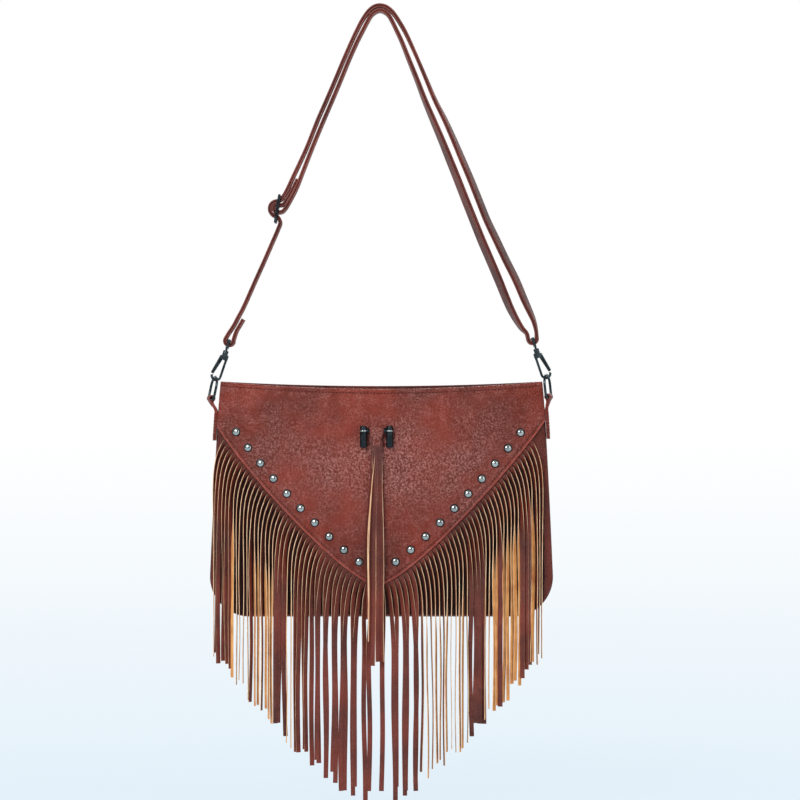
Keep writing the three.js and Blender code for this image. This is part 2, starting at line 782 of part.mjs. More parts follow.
function zipPuller() {
  const outline = new THREE.Shape();
  outline.absarc(0, 0, zipHubRadius, Math.PI / 6, 2 * Math.PI - Math.PI / 6, false);
  outline.lineTo(zipPullerLength, -zipPullerThickness / 2);
  outline.lineTo(zipPullerLength, zipPullerThickness / 2);
  outline.closePath();
  const hole = new THREE.Path();
  hole.absarc(0, 0, zipPivotRadius + clearance, 0, 2 * Math.PI, true);
  outline.holes.push(hole);
  const tongueWidth = 2;
  const extrusion = { depth: tongueWidth, bevelEnabled: false, curveSegments: 5 };
  const stem = new THREE.ExtrudeGeometry(outline, extrusion)
    .rotateX(Math.PI / 2)
    .translate(0, tongueWidth / 2, 0);
  const gripLength = zipPullerLength - 8;
  const grip = softRectangle(gripLength, zipPullerWidth, 1.2);
  const rings = [-1, 1].map((s) => grip.map(([a, b]) => new THREE.Vector3(
    zipPullerLength - gripLength / 2 + a + 0.5,
    b,
    s * zipPullerThickness / 2,
  )));
  return join([stem, loft(rings)]);
}

// Strap: one strap from its end beside the left eye, over the top, round the right eye,
// back over the top and through the slider. Each point is [x, z, turn of the face in degrees].

function strapRoute() {
  const half = strapThickness / 2;
  const round = (bar, from, to, radius, count) => arc(bar.x, bar.z, radius, from, to, count)
    .map(({ x, z }) => [x, z, 0]);
  const beside = (place, steps) => steps.map(([x, z, turn = 0]) => [place.x + x, place.z + z, turn]);
  const along = (side, run) => run
    .map(([across, down, turn = 0]) => [eye[side].x * across, eye[side].z * down, turn]);
  const eyeLoop = eyeBarRadius + clearance + half + strapLoopSlack;
  const innerLoop = sliderBarRadius + clearance + half;
  const outerLoop = innerLoop + strapThickness + clearance;
  const innerTop = { x: 0, z: apexRise };
  const outerTop = { x: 0, z: apexRise + strapThickness + apexGap };
  return [
    ...beside(eye.left, besideLeftEnd),
    ...round(eye.left, 8, -188, eyeLoop, 6),
    ...beside(eye.left, besideLeftEye),
    ...along('left', leftRunUp),
    ...beside(sliderMiddle, belowSlider),
    ...round(sliderMiddle, -92, -268, outerLoop, 8),
    ...beside(sliderMiddle, aboveSlider),
    ...along('left', leftRunTop),
    ...beside(outerTop, overTop),
    ...along('right', rightOuterRun),
    ...beside(eye.right, besideRightEyeOuter),
    ...round(eye.right, 14, -160, eyeLoop, 6),
    ...beside(eye.right, besideRightEyeInner),
    ...along('right', rightInnerRun),
    ...beside(innerTop, underTop),
    ...along('left', backRun),
    ...beside(sliderMiddle, intoSlider),
    ...round(sliderMiddle, -88, -272, innerLoop, 8),
    ...beside(sliderMiddle, outOfSlider),
  ];
}

function strap() {
  const route = strapRoute();
  const knots = route.map(([x, z]) => new THREE.Vector3(x, 0, z));
  const curve = new THREE.CatmullRomCurve3(knots, false, 'centripetal');
  const path = shares(route.length - 1, 0, 1).map((t) => curve.getPoint(t));
  const turnAt = (i) => THREE.MathUtils.degToRad(route[i][2]);
  return sweep(path, (i) => softRectangle(strapThickness, strapWidth, strapCorner, turnAt(i)));
}

// Strap slider: three bars between two rails

function strapSlider() {
  const barLength = strapWidth + 2 * clearance + 2 * sliderRailThickness;
  const railLength = 2 * sliderBarSpacing + 2;
  const bar = (z) => new THREE.CylinderGeometry(sliderBarRadius, sliderBarRadius, barLength, 10)
    .translate(0, 0, z);
  const rail = (y) => new THREE.BoxGeometry(2 * sliderBarRadius, sliderRailThickness, railLength)
    .translate(0, y, 0);
  const railY = strapWidth / 2 + clearance + sliderRailThickness / 2;
  return join([bar(-sliderBarSpacing), bar(0), bar(sliderBarSpacing), rail(-railY), rail(railY)]);
}

// Snap hooks. Their own frame has its origin at the eye bar, Z up along the hook and X across it, outwards.

function swivelEye() {
  const halfWidth = strapWidth / 2 + clearance + eyeFrameRadius + 0.4;
  const bar = (radius, length, z) => new THREE.CylinderGeometry(radius, radius, length, 12)
    .translate(0, 0, z);
  const leg = (y) => new THREE.CylinderGeometry(eyeFrameRadius, eyeFrameRadius, eyeFrameDrop, 10)
    .rotateX(Math.PI / 2)
    .translate(0, y, -eyeFrameDrop / 2);
  const pinTop = eyeFrameDrop;
  const headDrop = swivelBarrelTop + 2;
  const headLength = 1.2;
  const profile = [
    [0, -headDrop - headLength], [swivelHeadRadius, -headDrop - headLength], [swivelHeadRadius, -headDrop],
    [swivelPinRadius, -headDrop], [swivelPinRadius, -pinTop], [0, -pinTop],
  ].map(([r, h]) => new THREE.Vector2(r, h));
  const pin = new THREE.LatheGeometry(profile, 12).rotateX(Math.PI / 2);
  return join([
    bar(eyeBarRadius, 2 * halfWidth, 0),
    bar(eyeFrameRadius, 2 * halfWidth, -eyeFrameDrop),
    leg(-halfWidth),
    leg(halfWidth),
    pin,
  ]);
}

function swivelBarrel() {
  const lip = swivelBarrelTop + 2 - clearance;
  const floor = swivelBarrelTop + 3.2 + clearance;
  const bore = swivelPinRadius + clearance;
  const chamber = swivelHeadRadius + clearance;
  const profile = [
    [0, -swivelBarrelBottom], [swivelBarrelRadius * 0.8, -swivelBarrelBottom],
    [swivelBarrelRadius, -swivelBarrelBottom + 1], [swivelBarrelRadius, -swivelBarrelTop - 0.8],
    [swivelBarrelRadius * 0.8, -swivelBarrelTop], [bore, -swivelBarrelTop], [bore, -lip],
    [chamber, -lip], [chamber, -floor], [0, -floor],
  ].map(([r, h]) => new THREE.Vector2(r, h));
  return new THREE.LatheGeometry(profile, 12).rotateX(Math.PI / 2);
}

function plate(outline, thickness, y) {
  return new THREE.ExtrudeGeometry(outline, { depth: thickness, bevelEnabled: false, curveSegments: 8 })
    .rotateX(Math.PI / 2)
    .translate(0, y + thickness / 2, 0);
}

function hookBody() {
  const centreX = (hookLimbX + hookTipX) / 2;
  const bendRadius = (hookTipX - hookLimbX) / 2;
  const bendZ = -hookBottom + bendRadius;
  const limb = [
    new THREE.Vector3(hookLimbX + 0.6, 0, -swivelBarrelBottom - 1),
    new THREE.Vector3(hookLimbX, 0, -swivelBarrelBottom - 6),
    new THREE.Vector3(hookLimbX, 0, bendZ + 6),
    ...arc(centreX, bendZ, bendRadius, 180, 360, 8),
    new THREE.Vector3(hookTipX, 0, -hookTipTop),
  ];
  const wire = sweep(limb, () => circle(hookLimbRadius, 8));
  const cheekOutline = new THREE.Shape();
  cheekOutline.moveTo(hookLimbX - 1, -swivelBarrelBottom - 5.5);
  cheekOutline.lineTo(hookLimbX - 1, -swivelBarrelBottom + 0.4);
  cheekOutline.lineTo(gatePivot.x, -swivelBarrelBottom + 0.6);
  cheekOutline.absarc(gatePivot.x, -gatePivot.drop, gateHubRadius, Math.PI / 2, -Math.PI / 2, true);
  cheekOutline.closePath();
  const cheekY = gateThickness / 2 + clearance + hookCheekThickness / 2;
  const cheeks = [-cheekY, cheekY].map((y) => plate(cheekOutline, hookCheekThickness, y));
  const spacer = new THREE.BoxGeometry(2, 2 * cheekY, 5.6).translate(hookLimbX, 0, -swivelBarrelBottom - 2.6);
  const cap = new THREE.BoxGeometry(4.6, 2 * cheekY, 1).translate(-0.9, 0, -swivelBarrelBottom + 0.1);
  const pivotLength = 2 * cheekY + hookCheekThickness;
  const pivot = new THREE.CylinderGeometry(gatePivotRadius, gatePivotRadius, pivotLength, 12)
    .translate(gatePivot.x, 0, -gatePivot.drop);
  return join([swivelBarrel(), ...cheeks, spacer, cap, pivot, wire]);
}

function hookGate() {
  const outline = new THREE.Shape();
  const reach = new THREE.Vector2(gateNose.x - gatePivot.x, gatePivot.drop - gateNose.drop);
  const heading = Math.atan2(reach.y, reach.x);
  const quarter = Math.PI / 2;
  outline.absarc(gatePivot.x, -gatePivot.drop, gateHubRadius, heading + quarter, heading - quarter, false);
  const noseZ = -gateNose.drop + gateNoseRadius;
  outline.absarc(gateNose.x, noseZ, gateNoseRadius, heading - quarter, heading + quarter, false);
  outline.closePath();
  const hole = new THREE.Path();
  hole.absarc(gatePivot.x, -gatePivot.drop, gatePivotRadius + clearance, 0, 2 * Math.PI, true);
  outline.holes.push(hole);
  return plate(outline, gateThickness, 0);
}

// D-rings and tabs. The ring hangs from the hook's bend, and leans out to the tab's bar.

function hookPlace(side, x, drop) {
  const group = new THREE.Group();
  placeHook(group, side);
  group.updateMatrixWorld(true);
  return new THREE.Vector3(x, 0, -drop).applyMatrix4(group.matrixWorld);
}

function placeHook(group, side) {
  const sign = sides[side];
  group.position.set(eye[side].x, 0, eye[side].z);
  group.rotation.set(0, -sign * hookTilt, side === 'left' ? Math.PI : 0, 'YZX');
}

const hookInside = hookBottom - hookLimbRadius;
const ringTop = hookInside - ringSeatGap - ringWireRadius;
const ringSeatX = (hookLimbX + hookTipX) / 2;

function ringSeat(side) {
  const top = hookPlace(side, ringSeatX, ringTop);
  const lean = sides[side] * ringLean[side];
  const hang = new THREE.Vector3(Math.sin(lean), 0, -Math.cos(lean));
  return { top, bar: top.clone().addScaledVector(hang, ringHeight) };
}

function dRing() {
  const path = [];
  const barCount = 4;
  for (let i = 0; i <= barCount; i += 1) {
    path.push(new THREE.Vector3(-ringHalfWidth * 0.8 + 1.6 * ringHalfWidth * i / barCount, 0, 0));
  }
  path.push(new THREE.Vector3(ringHalfWidth, 0, ringHalfWidth * 0.25));
  const archRise = ringHalfWidth * 1.1;
  const archZ = ringHeight - archRise;
  for (let i = 0; i <= 10; i += 1) {
    const angle = Math.PI * i / 10;
    path.push(new THREE.Vector3(ringHalfWidth * Math.cos(angle), 0, archZ + archRise * Math.sin(angle)));
  }
  path.push(new THREE.Vector3(-ringHalfWidth, 0, ringHalfWidth * 0.25));
  return sweep(path, () => circle(ringWireRadius, 8), true);
}

function addRing(side) {
  const { bar } = ringSeat(side);
  const mesh = addMesh(`d_ring_${side}`, dRing(), gunmetal);
  mesh.position.copy(bar);
  const sign = sides[side];
  mesh.rotation.set(0, -sign * ringLean[side], Math.PI / 2 - sign * ringYaw, 'YZX');
}

function tab(side) {
  const sign = sides[side];
  const { bar } = ringSeat(side);
  const seamX = bagCentreX + sign * (halfWidthAt(bar.z - tabNeckDrop) + clearance + tabThickness / 2);
  const seamFootX = bagCentreX + sign * (halfWidthAt(bar.z - tabLength) + clearance + tabThickness / 2);
  const layer = tabThickness + clearance;
  const inner = [[seamFootX, bar.z - tabLength], [seamX, bar.z - tabNeckDrop]];
  const outer = inner.map(([x, z]) => [x + sign * layer, z]).reverse();
  const round = arc(bar.x, bar.z, tabLoopRadius, tabLoopFrom, tabLoopTo, 10).map(({ x, z }) => [x, z]);
  const loop = sign > 0 ? round.reverse() : round;
  const path = [...inner, ...loop, ...outer].map(([x, z]) => new THREE.Vector3(x, 0, z));
  const geometry = sweep(path, () => rectangle(tabThickness, tabWidth));
  const position = geometry.attributes.position;
  const point = new THREE.Vector3();
  for (let i = 0; i < position.count; i += 1) {
    point.fromBufferAttribute(position, i);
    const turn = -sign * ringYaw * smooth((point.z - bar.z + tabNeckDrop) / tabNeckDrop);
    point.x -= bar.x;
    point.applyAxisAngle(up, turn);
    point.x += bar.x;
    position.setXYZ(i, point.x, point.y, point.z);
  }
  return geometry;
}

// Assembly

addMesh('front_panel', panel(-1), leather);
addMesh('back_panel', panel(1), leather);
addMesh('front_yoke', yoke(), leather);
addMesh('lining', lining(), liningCloth);
addMesh('zip_tape_front', zipTape(-1), zipCloth);
addMesh('zip_tape_back', zipTape(1), zipCloth);
addMesh('zip_slider', zipSlider(), gunmetal).position.set(zipSliderX, 0, zipZ);
addMesh('zip_puller', zipPuller(), gunmetal).position.set(zipSliderX, 0, zipZ + zipPivotZ);
addMesh('tassel_frame', tasselFrame(), gunmetal).position.set(tasselX, tasselY, tasselZ);
addMesh('tassel_leather', tasselLeather(), fringeLeather);
addMesh('strap', strap(), leather);
const slider = addMesh('strap_slider', strapSlider(), gunmetal);
slider.position.set(sliderMiddle.x, 0, sliderMiddle.z);
slider.rotation.y = sliderTilt;

for (const side of ['left', 'right']) {
  addMesh(`fringe_${side}`, fringe(side), fringeLeather);
  addStuds(side);
  addMesh(`side_tab_${side}`, tab(side), leather);
  addRing(side);
  const tilted = new THREE.Group();
  placeHook(tilted, side);
  bag.add(tilted);
  addMesh(`hook_eye_${side}`, swivelEye(), gunmetal, tilted);
  const turned = new THREE.Group();
  turned.rotation.z = -sides[side] * hookYaw;
  tilted.add(turned);
  addMesh(`hook_body_${side}`, hookBody(), gunmetal, turned);
  addMesh(`hook_gate_${side}`, hookGate(), gunmetal, turned);
}

export default bag;
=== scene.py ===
"""The looks of the fringed shoulder bag: leather, stitching, fringe, zip and gunmetal hardware.

Shapes repeat the source's formulas and values, in millimetres, and are scaled to metres as they
are made. +Z is up, +X is to the right of someone facing the front, and the front faces -Y.
"""
import bisect
import math

import bpy
from mathutils import Matrix, Vector, noise


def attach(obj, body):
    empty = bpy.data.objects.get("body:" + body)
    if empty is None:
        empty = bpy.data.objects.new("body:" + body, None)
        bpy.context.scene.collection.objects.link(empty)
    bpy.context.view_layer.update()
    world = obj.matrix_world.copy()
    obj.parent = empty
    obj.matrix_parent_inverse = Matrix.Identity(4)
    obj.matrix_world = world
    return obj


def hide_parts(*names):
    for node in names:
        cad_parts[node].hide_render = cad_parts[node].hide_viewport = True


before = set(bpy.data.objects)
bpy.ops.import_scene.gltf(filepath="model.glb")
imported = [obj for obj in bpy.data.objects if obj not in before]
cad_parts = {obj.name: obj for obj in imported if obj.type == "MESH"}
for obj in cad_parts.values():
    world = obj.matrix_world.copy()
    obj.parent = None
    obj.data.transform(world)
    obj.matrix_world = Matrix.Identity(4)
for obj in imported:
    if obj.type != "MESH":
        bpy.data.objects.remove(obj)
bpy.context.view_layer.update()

MM = 0.001
SIDES = {"left": -1, "right": 1}
WIDTHWAYS = Vector((0, 1, 0))
CLEARANCE = 0.3

# Body of the bag
BAG_CENTRE_X = 1.5
BAG_TOP = -368.5
BAG_HEIGHT = 235
BAG_BOTTOM = BAG_TOP - BAG_HEIGHT
BAG_TOP_HALF_WIDTH = 160.5
BAG_FLARE = 11
BAG_FLARE_CURVE = 0.75
BAG_CORNER_RADIUS = 40
FRONT_SAG = 7.5
BACK_SAG = 4.5
MOUTH_HALF_DEPTH = 10.5
BELLY_HALF_DEPTH = 17
BELLY_SHARE = 0.6
PANEL_THICKNESS = 1.4
LINING_THICKNESS = 0.7
LINING_REACH = 0.96
LINING_BOTTOM = 0.985
LINING_TOP = 0.02

# Yoke and its V shaped seam
YOKE_THICKNESS = 1.2
YOKE_GAP = 0.6
YOKE_LIFT_MARGIN = 0.8
YOKE_LIFT_RUN = 2.2
SEAM_CENTRE_X = -2.5
SEAM_TIP_Z = BAG_BOTTOM + 32.5
SEAM_TIP_REACH = 30
SEAM_SHOULDER_REACH = 138
SEAM_SHOULDER_DROP = 83.5
SEAM_END_DROP = {"left": 45, "right": 39}
SEAM_STEPS = 400
SEAM_STITCH_INSET = 3.3
TURNED_EDGE = 1.2
TOP_STITCH_DROP = 4.2
STITCH_PITCH = 3.4

# Fringe
FRINGE_PITCH = 5.3
FRINGE_STRIP_WIDTH = 4.6
FRINGE_THICKNESS = 1
FRINGE_BAND_THICKNESS = 1.3
FRINGE_LENGTH = 214
FRINGE_LENGTH_VARIATION = 7
FRINGE_BEND = 16
FRINGE_BARE_END = {"left": 14, "right": 24}
FRINGE_BAND_WIDTH = 5.5
FRINGE_BAND_INSET = 0.5
FRINGE_SEAT = 0.5
BAND_TOP = FRINGE_SEAT + FRINGE_BAND_THICKNESS
FRINGE_STEPS = 260
STEPS_PER_POINT = 5
# Beyond this turn a strip's back hardly turns further
WIDEST_BACK = 108
# The strips hung further out than this on the left stray outward
STRAY_REACH = 168
STRAY = 3.2

# Where the front panel behind the fringe is painted near black as its shade: its half width at the top of the
# fringe and lower down
FRINGE_SHADE_START = {"left": 153, "right": 140}
FRINGE_SHADE_REACH = 162
FRINGE_SHADE_TOP = -422
FRINGE_SHADE_RUN = 40

# Studs
STUD_COUNT = 10
STUD_RADIUS = 4.4
STUD_HEIGHT = 2.5
STUD_INSET = 13.2
STUD_FIRST = 29
STUD_LAST = 212

# Tassel
TASSEL_X = -3.3
TASSEL_Z = BAG_TOP - 49
TASSEL_BAR_SPACING = 26
TASSEL_BAR_RADIUS = 3.6
TASSEL_BAR_LENGTH = 21.5
TASSEL_BAR_RISE = 4.8
TASSEL_CROSS_RADIUS = 1.9
TASSEL_COLLAR_RADIUS = 2.7
TASSEL_COLLAR_LENGTH = 2.4
TASSEL_SADDLE = 7.2
TASSEL_NECK = 4.2
TASSEL_NECK_DROP = 14
TASSEL_CLEARANCE = 7.8
TASSEL_STRIP_WIDTH = 4.4
TASSEL_STRIP_THICKNESS = 1.3

# Zip
ZIP_Z = BAG_TOP - 14.5
ZIP_TAPE_WIDTH = 4.2
ZIP_TAPE_THICKNESS = 0.8
ZIP_REACH = 0.8
ZIP_TEETH_HEIGHT = 1.8
TOOTH_PITCH = 2.2
ZIP_HALF_GAP = 1.5
ZIP_SLIDER_X = BAG_CENTRE_X - BAG_TOP_HALF_WIDTH + 47
ZIP_SLIDER_LENGTH = 11
ZIP_SLIDER_WIDTH = 8.4
ZIP_PLATE = 1
ZIP_PULLER_LENGTH = 24
ZIP_PULLER_WIDTH = 4.6
ZIP_PULLER_THICKNESS = 1.2
ZIP_PIVOT = 0.6

# Strap and its slider
STRAP_WIDTH = 13
STRAP_THICKNESS = 3.9
APEX_RISE = 2.4
# The rounded lip of a strap edge: how far out of the half thickness, and how far below the full width
STRAP_LIP = [(1, 0.5), (0.97, 0.2), (0.84, 0.04), (0.6, 0), (0.36, 0.1), (0.16, 0.42), (0, 0.75)]
SLIDER_X = -102.4
SLIDER_Z = -196
SLIDER_SPACING = 13
SLIDER_BAR = 1.2
SLIDER_TILT = math.radians(9)
SLIDER_RAIL = 2.2

# Snap hooks
EYE = {"left": (-150.5, -328), "right": (152.5, -326)}
HOOK_TILT = math.radians(18.7)
HOOK_YAW = math.radians(10)
EYE_BAR = 1.6
EYE_FRAME = 1.2
EYE_DROP = 8.4
PIN_RADIUS = 1.1
PIN_HEAD = 1.7
SHOULDER = 2
BARREL_RADIUS = 2.9
BARREL_TOP = 10.2
BARREL_BOTTOM = 15
LIMB_RADIUS = 1.25
LIMB_X = -2.9
HOOK_BOTTOM = 41.5
TIP_X = 6
TIP_TOP = 37.6
PIVOT_X = 2.2
PIVOT_DROP = 17.4
PIVOT_RADIUS = 0.9
HUB_RADIUS = 2.1
GATE_THICKNESS = 2.6
NOSE_X = 6.1
NOSE_DROP = 36
NOSE_RADIUS = 1.5
CHEEK = 1.1

# D-rings and tabs
RING_WIRE = 1.3
RING_HEIGHT = 22
RING_HALF_WIDTH = 9
RING_YAW = math.radians(20)
RING_LEAN = {"left": math.radians(12), "right": math.radians(6)}
RING_SEAT_GAP = 0.5
TAB_WIDTH = 9
TAB_THICKNESS = 1.6
TAB_LOOP = 2.9
TAB_NECK_DROP = 13
TAB_LENGTH = 42


# Camera, level with the middle of the whole and as far off as the photograph's flat view needs

VIEW_DISTANCE = 3.0


def make_camera():
    data = bpy.data.cameras.new("camera")
    data.lens = 135
    data.sensor_width = 36
    data.clip_start = 0.05
    data.clip_end = 50
    camera = bpy.data.objects.new("camera", data)
    bpy.context.scene.collection.objects.link(camera)
    camera.location = (0.020, -VIEW_DISTANCE, -0.387)
    camera.rotation_euler = (math.pi / 2, 0, 0)
    bpy.context.scene.camera = camera


make_camera()


# Numbers

def clamp(t):
    return min(1.0, max(0.0, t))


def smooth(t):
    s = clamp(t)
    return s * s * (3 - 2 * s)


def shares(count, start, end):
    return [start + (end - start) * i / count for i in range(count + 1)]


def bump(distance, width):
    return math.exp(-(distance / width) ** 2)


def variation(index):
    wave = math.sin(index * 12.9898 + 4.1414) * 43758.5453
    return 2 * (wave - math.floor(wave)) - 1


def wobble(place, scale, seed=0.0):
    """A smooth variation between about -1 and 1 over places, one swing every so many millimetres."""
    return noise.noise(place / scale + Vector((seed, 3.7 * seed, 0)))


# Meshes

def outward(points, faces):
    total = 0
    for face in faces:
        first = points[face[0]]
        for k in range(1, len(face) - 1):
            total += first.dot(points[face[k]].cross(points[face[k + 1]]))
    return faces if total > 0 else [tuple(reversed(face)) for face in faces]


class Piece:
    """Gathers solids, in millimetres, into one mesh object."""

    def __init__(self):
        self.points = []
        self.faces = []
        self.slots = []

    def add(self, solid, slots=0, place=None):
        points, faces = solid
        if place is not None:
            points = [place @ point for point in points]
        base = len(self.points)
        self.points.extend(points)
        self.faces.extend(tuple(base + i for i in face) for face in outward(points, faces))
        self.slots.extend([slots] * len(faces) if isinstance(slots, int) else slots)
        return self

    def make(self, name, body, slot, materials, nodes=(), sharp=35, bevel=0.0):
        mesh = bpy.data.meshes.new(name)
        mesh.from_pydata([point * MM for point in self.points], [], self.faces)
        for material in materials:
            mesh.materials.append(material)
        mesh.polygons.foreach_set("material_index", self.slots)
        mesh.polygons.foreach_set("use_smooth", [True] * len(self.faces))
        mesh.set_sharp_from_angle(angle=math.radians(sharp))
        mesh.update()
        made = bpy.data.objects.new(name, mesh)
        bpy.context.scene.collection.objects.link(made)
        if bevel:
            edge = made.modifiers.new("edges", "BEVEL")
            edge.width = bevel * MM
            edge.segments = 2
            edge.limit_method = "ANGLE"
            edge.angle_limit = math.radians(sharp)
            edge.harden_normals = True
        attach(made, body)
        if nodes:
            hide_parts(*nodes)
        return made


def grid_faces(rows, columns, base=0):
    faces = []
    for j in range(rows - 1):
        for i in range(columns - 1):
            k = base + j * columns + i
            faces.append((k, k + 1, k + columns + 1, k + columns))
    return faces


def sheet(outer, inner):
    """A solid between two grids of points, joined round their edge."""
    rows, columns = len(outer), len(outer[0])
    size = rows * columns
    points = [p for row in outer for p in row] + [p for row in inner for p in row]
    faces = grid_faces(rows, columns)
    faces += [tuple(reversed(face)) for face in grid_faces(rows, columns, size)]
    last = (rows - 1) * columns
    for i in range(columns - 1):
        faces.append((i + 1, i, size + i, size + i + 1))
        faces.append((last + i, last + i + 1, size + last + i + 1, size + last + i))
    for j in range(rows - 1):
        k = j * columns
        m = k + columns - 1
        faces.append((k, k + columns, size + k + columns, size + k))
        faces.append((m + columns, m, size + m, size + m + columns))
    return points, faces


def slotted_sheet(outer, inner, slot_at):
    """A sheet's solid with a slot for each face: slot_at(row, column) on its outside, and 0 elsewhere."""
    points, faces = sheet(outer, inner)
    slots = [slot_at(j, i) for j in range(len(outer) - 1) for i in range(len(outer[0]) - 1)]
    return (points, faces), slots + [0] * (len(faces) - len(slots))


def loft(rings, looped=False):
    """A solid through rings of points, closed at both ends or joined into a loop."""
    around = len(rings[0])
    points = [p for ring in rings for p in ring]
    faces = []
    for j in range(len(rings) if looped else len(rings) - 1):
        near = j * around
        far = ((j + 1) % len(rings)) * around
        for i in range(around):
            after = (i + 1) % around
            faces.append((near + i, near + after, far + after, far + i))
    if not looped:
        last = len(points) - around
        faces.append(tuple(reversed(range(around))))
        faces.append(tuple(range(last, last + around)))
    return points, faces


def sweep(path, section_at, looped=False, wide=WIDTHWAYS):
    """A section carried along a path: each section point is (across the path in its plane, widthways)."""
    count = len(path)
    rings = []
    for i, point in enumerate(path):
        before = path[i - 1] if looped or i > 0 else path[0]
        after = path[(i + 1) % count] if looped or i + 1 < count else path[-1]
        run = (after - before).normalized()
        across = wide.cross(run).normalized()
        side = run.cross(across)
        rings.append([point + across * a + side * b for a, b in section_at(i)])
    return loft(rings, looped)


def lathe(profile, segments=24):
    """A solid turned about Z from a profile of (radius, height), from one end of the axis to the other."""
    rings = []
    for radius, height in profile:
        reach = max(radius, 0.001)
        rings.append([
            Vector((reach * math.cos(a), reach * math.sin(a), height))
            for a in (2 * math.pi * i / segments for i in range(segments))
        ])
    return loft(rings)


def plate(outline, thickness, y=0.0):
    """A flat plate across Y with an outline of (x, z) points."""
    front = [Vector((x, y - thickness / 2, z)) for x, z in outline]
    back = [Vector((x, y + thickness / 2, z)) for x, z in outline]
    return loft([front, back])


def block(size, centre):
    x, y, z = (extent / 2 for extent in size)
    foot = [Vector(centre) + Vector((a, b, -z)) for a, b in ((-x, -y), (x, -y), (x, y), (-x, y))]
    return loft([foot, [point + Vector((0, 0, 2 * z)) for point in foot]])


def circle(radius, count=14):
    return [(radius * math.cos(2 * math.pi * i / count), radius * math.sin(2 * math.pi * i / count))
            for i in range(count)]


def arc_outline(x, z, radius, start, end, count=14):
    """Points (x, z) of an arc, from one angle to another in degrees."""
    angles = [math.radians(a) for a in shares(count, start, end)]
    return [(x + radius * math.cos(a), z + radius * math.sin(a)) for a in angles]


def upright(outline):
    return [Vector((x, 0, z)) for x, z in outline]


def soft_rectangle(across, wide, corner, steps=4):
    section = []
    for (sa, sb), start in zip([(1, 1), (-1, 1), (-1, -1), (1, -1)], (0, 90, 180, 270)):
        centre_a = sa * (across / 2 - corner)
        centre_b = sb * (wide / 2 - corner)
        for angle in shares(steps, start, start + 90):
            turn = math.radians(angle)
            section.append((centre_a + corner * math.cos(turn), centre_b + corner * math.sin(turn)))
    return section


def mirrored(outline):
    """An outline closed by its own mirror image in its second coordinate."""
    return outline + [(a, -b) for a, b in reversed(outline)]


def turned(section, angle):
    cos, sin = math.cos(angle), math.sin(angle)
    return [(a * cos - b * sin, a * sin + b * cos) for a, b in section]


def spline(points, steps):
    """Points along a centripetal Catmull-Rom curve, evenly spaced by its parameter, with that parameter."""
    count = len(points)
    found = []
    for step in range(steps + 1):
        place = (count - 1) * step / steps
        i = min(int(place), count - 2)
        w = place - i
        p1, p2 = points[i], points[i + 1]
        p0 = points[i - 1] if i > 0 else p1 * 2 - p2
        p3 = points[i + 2] if i + 2 < count else p2 * 2 - p1
        d0 = max((p1 - p0).length ** 0.5, 1e-4)
        d1 = max((p2 - p1).length ** 0.5, 1e-4)
        d2 = max((p3 - p2).length ** 0.5, 1e-4)
        m1 = ((p1 - p0) / d0 - (p2 - p0) / (d0 + d1) + (p2 - p1) / d1) * d1
        m2 = ((p2 - p1) / d1 - (p3 - p1) / (d1 + d2) + (p3 - p2) / d2) * d1
        found.append((p1 + m1 * w + (p2 * 3 - p1 * 3 - m1 * 2 - m2) * w ** 2
                      + (p1 * 2 - p2 * 2 + m1 + m2) * w ** 3, place))
    return found


# Materials

def linear(channel):
    share = channel / 255
    return share / 12.92 if share <= 0.04045 else ((share + 0.055) / 1.055) ** 2.4


def colour(rgb):
    """A written colour, 0 to 255 a channel, as the shader takes it."""
    return tuple(linear(channel) for channel in rgb) + (1,)


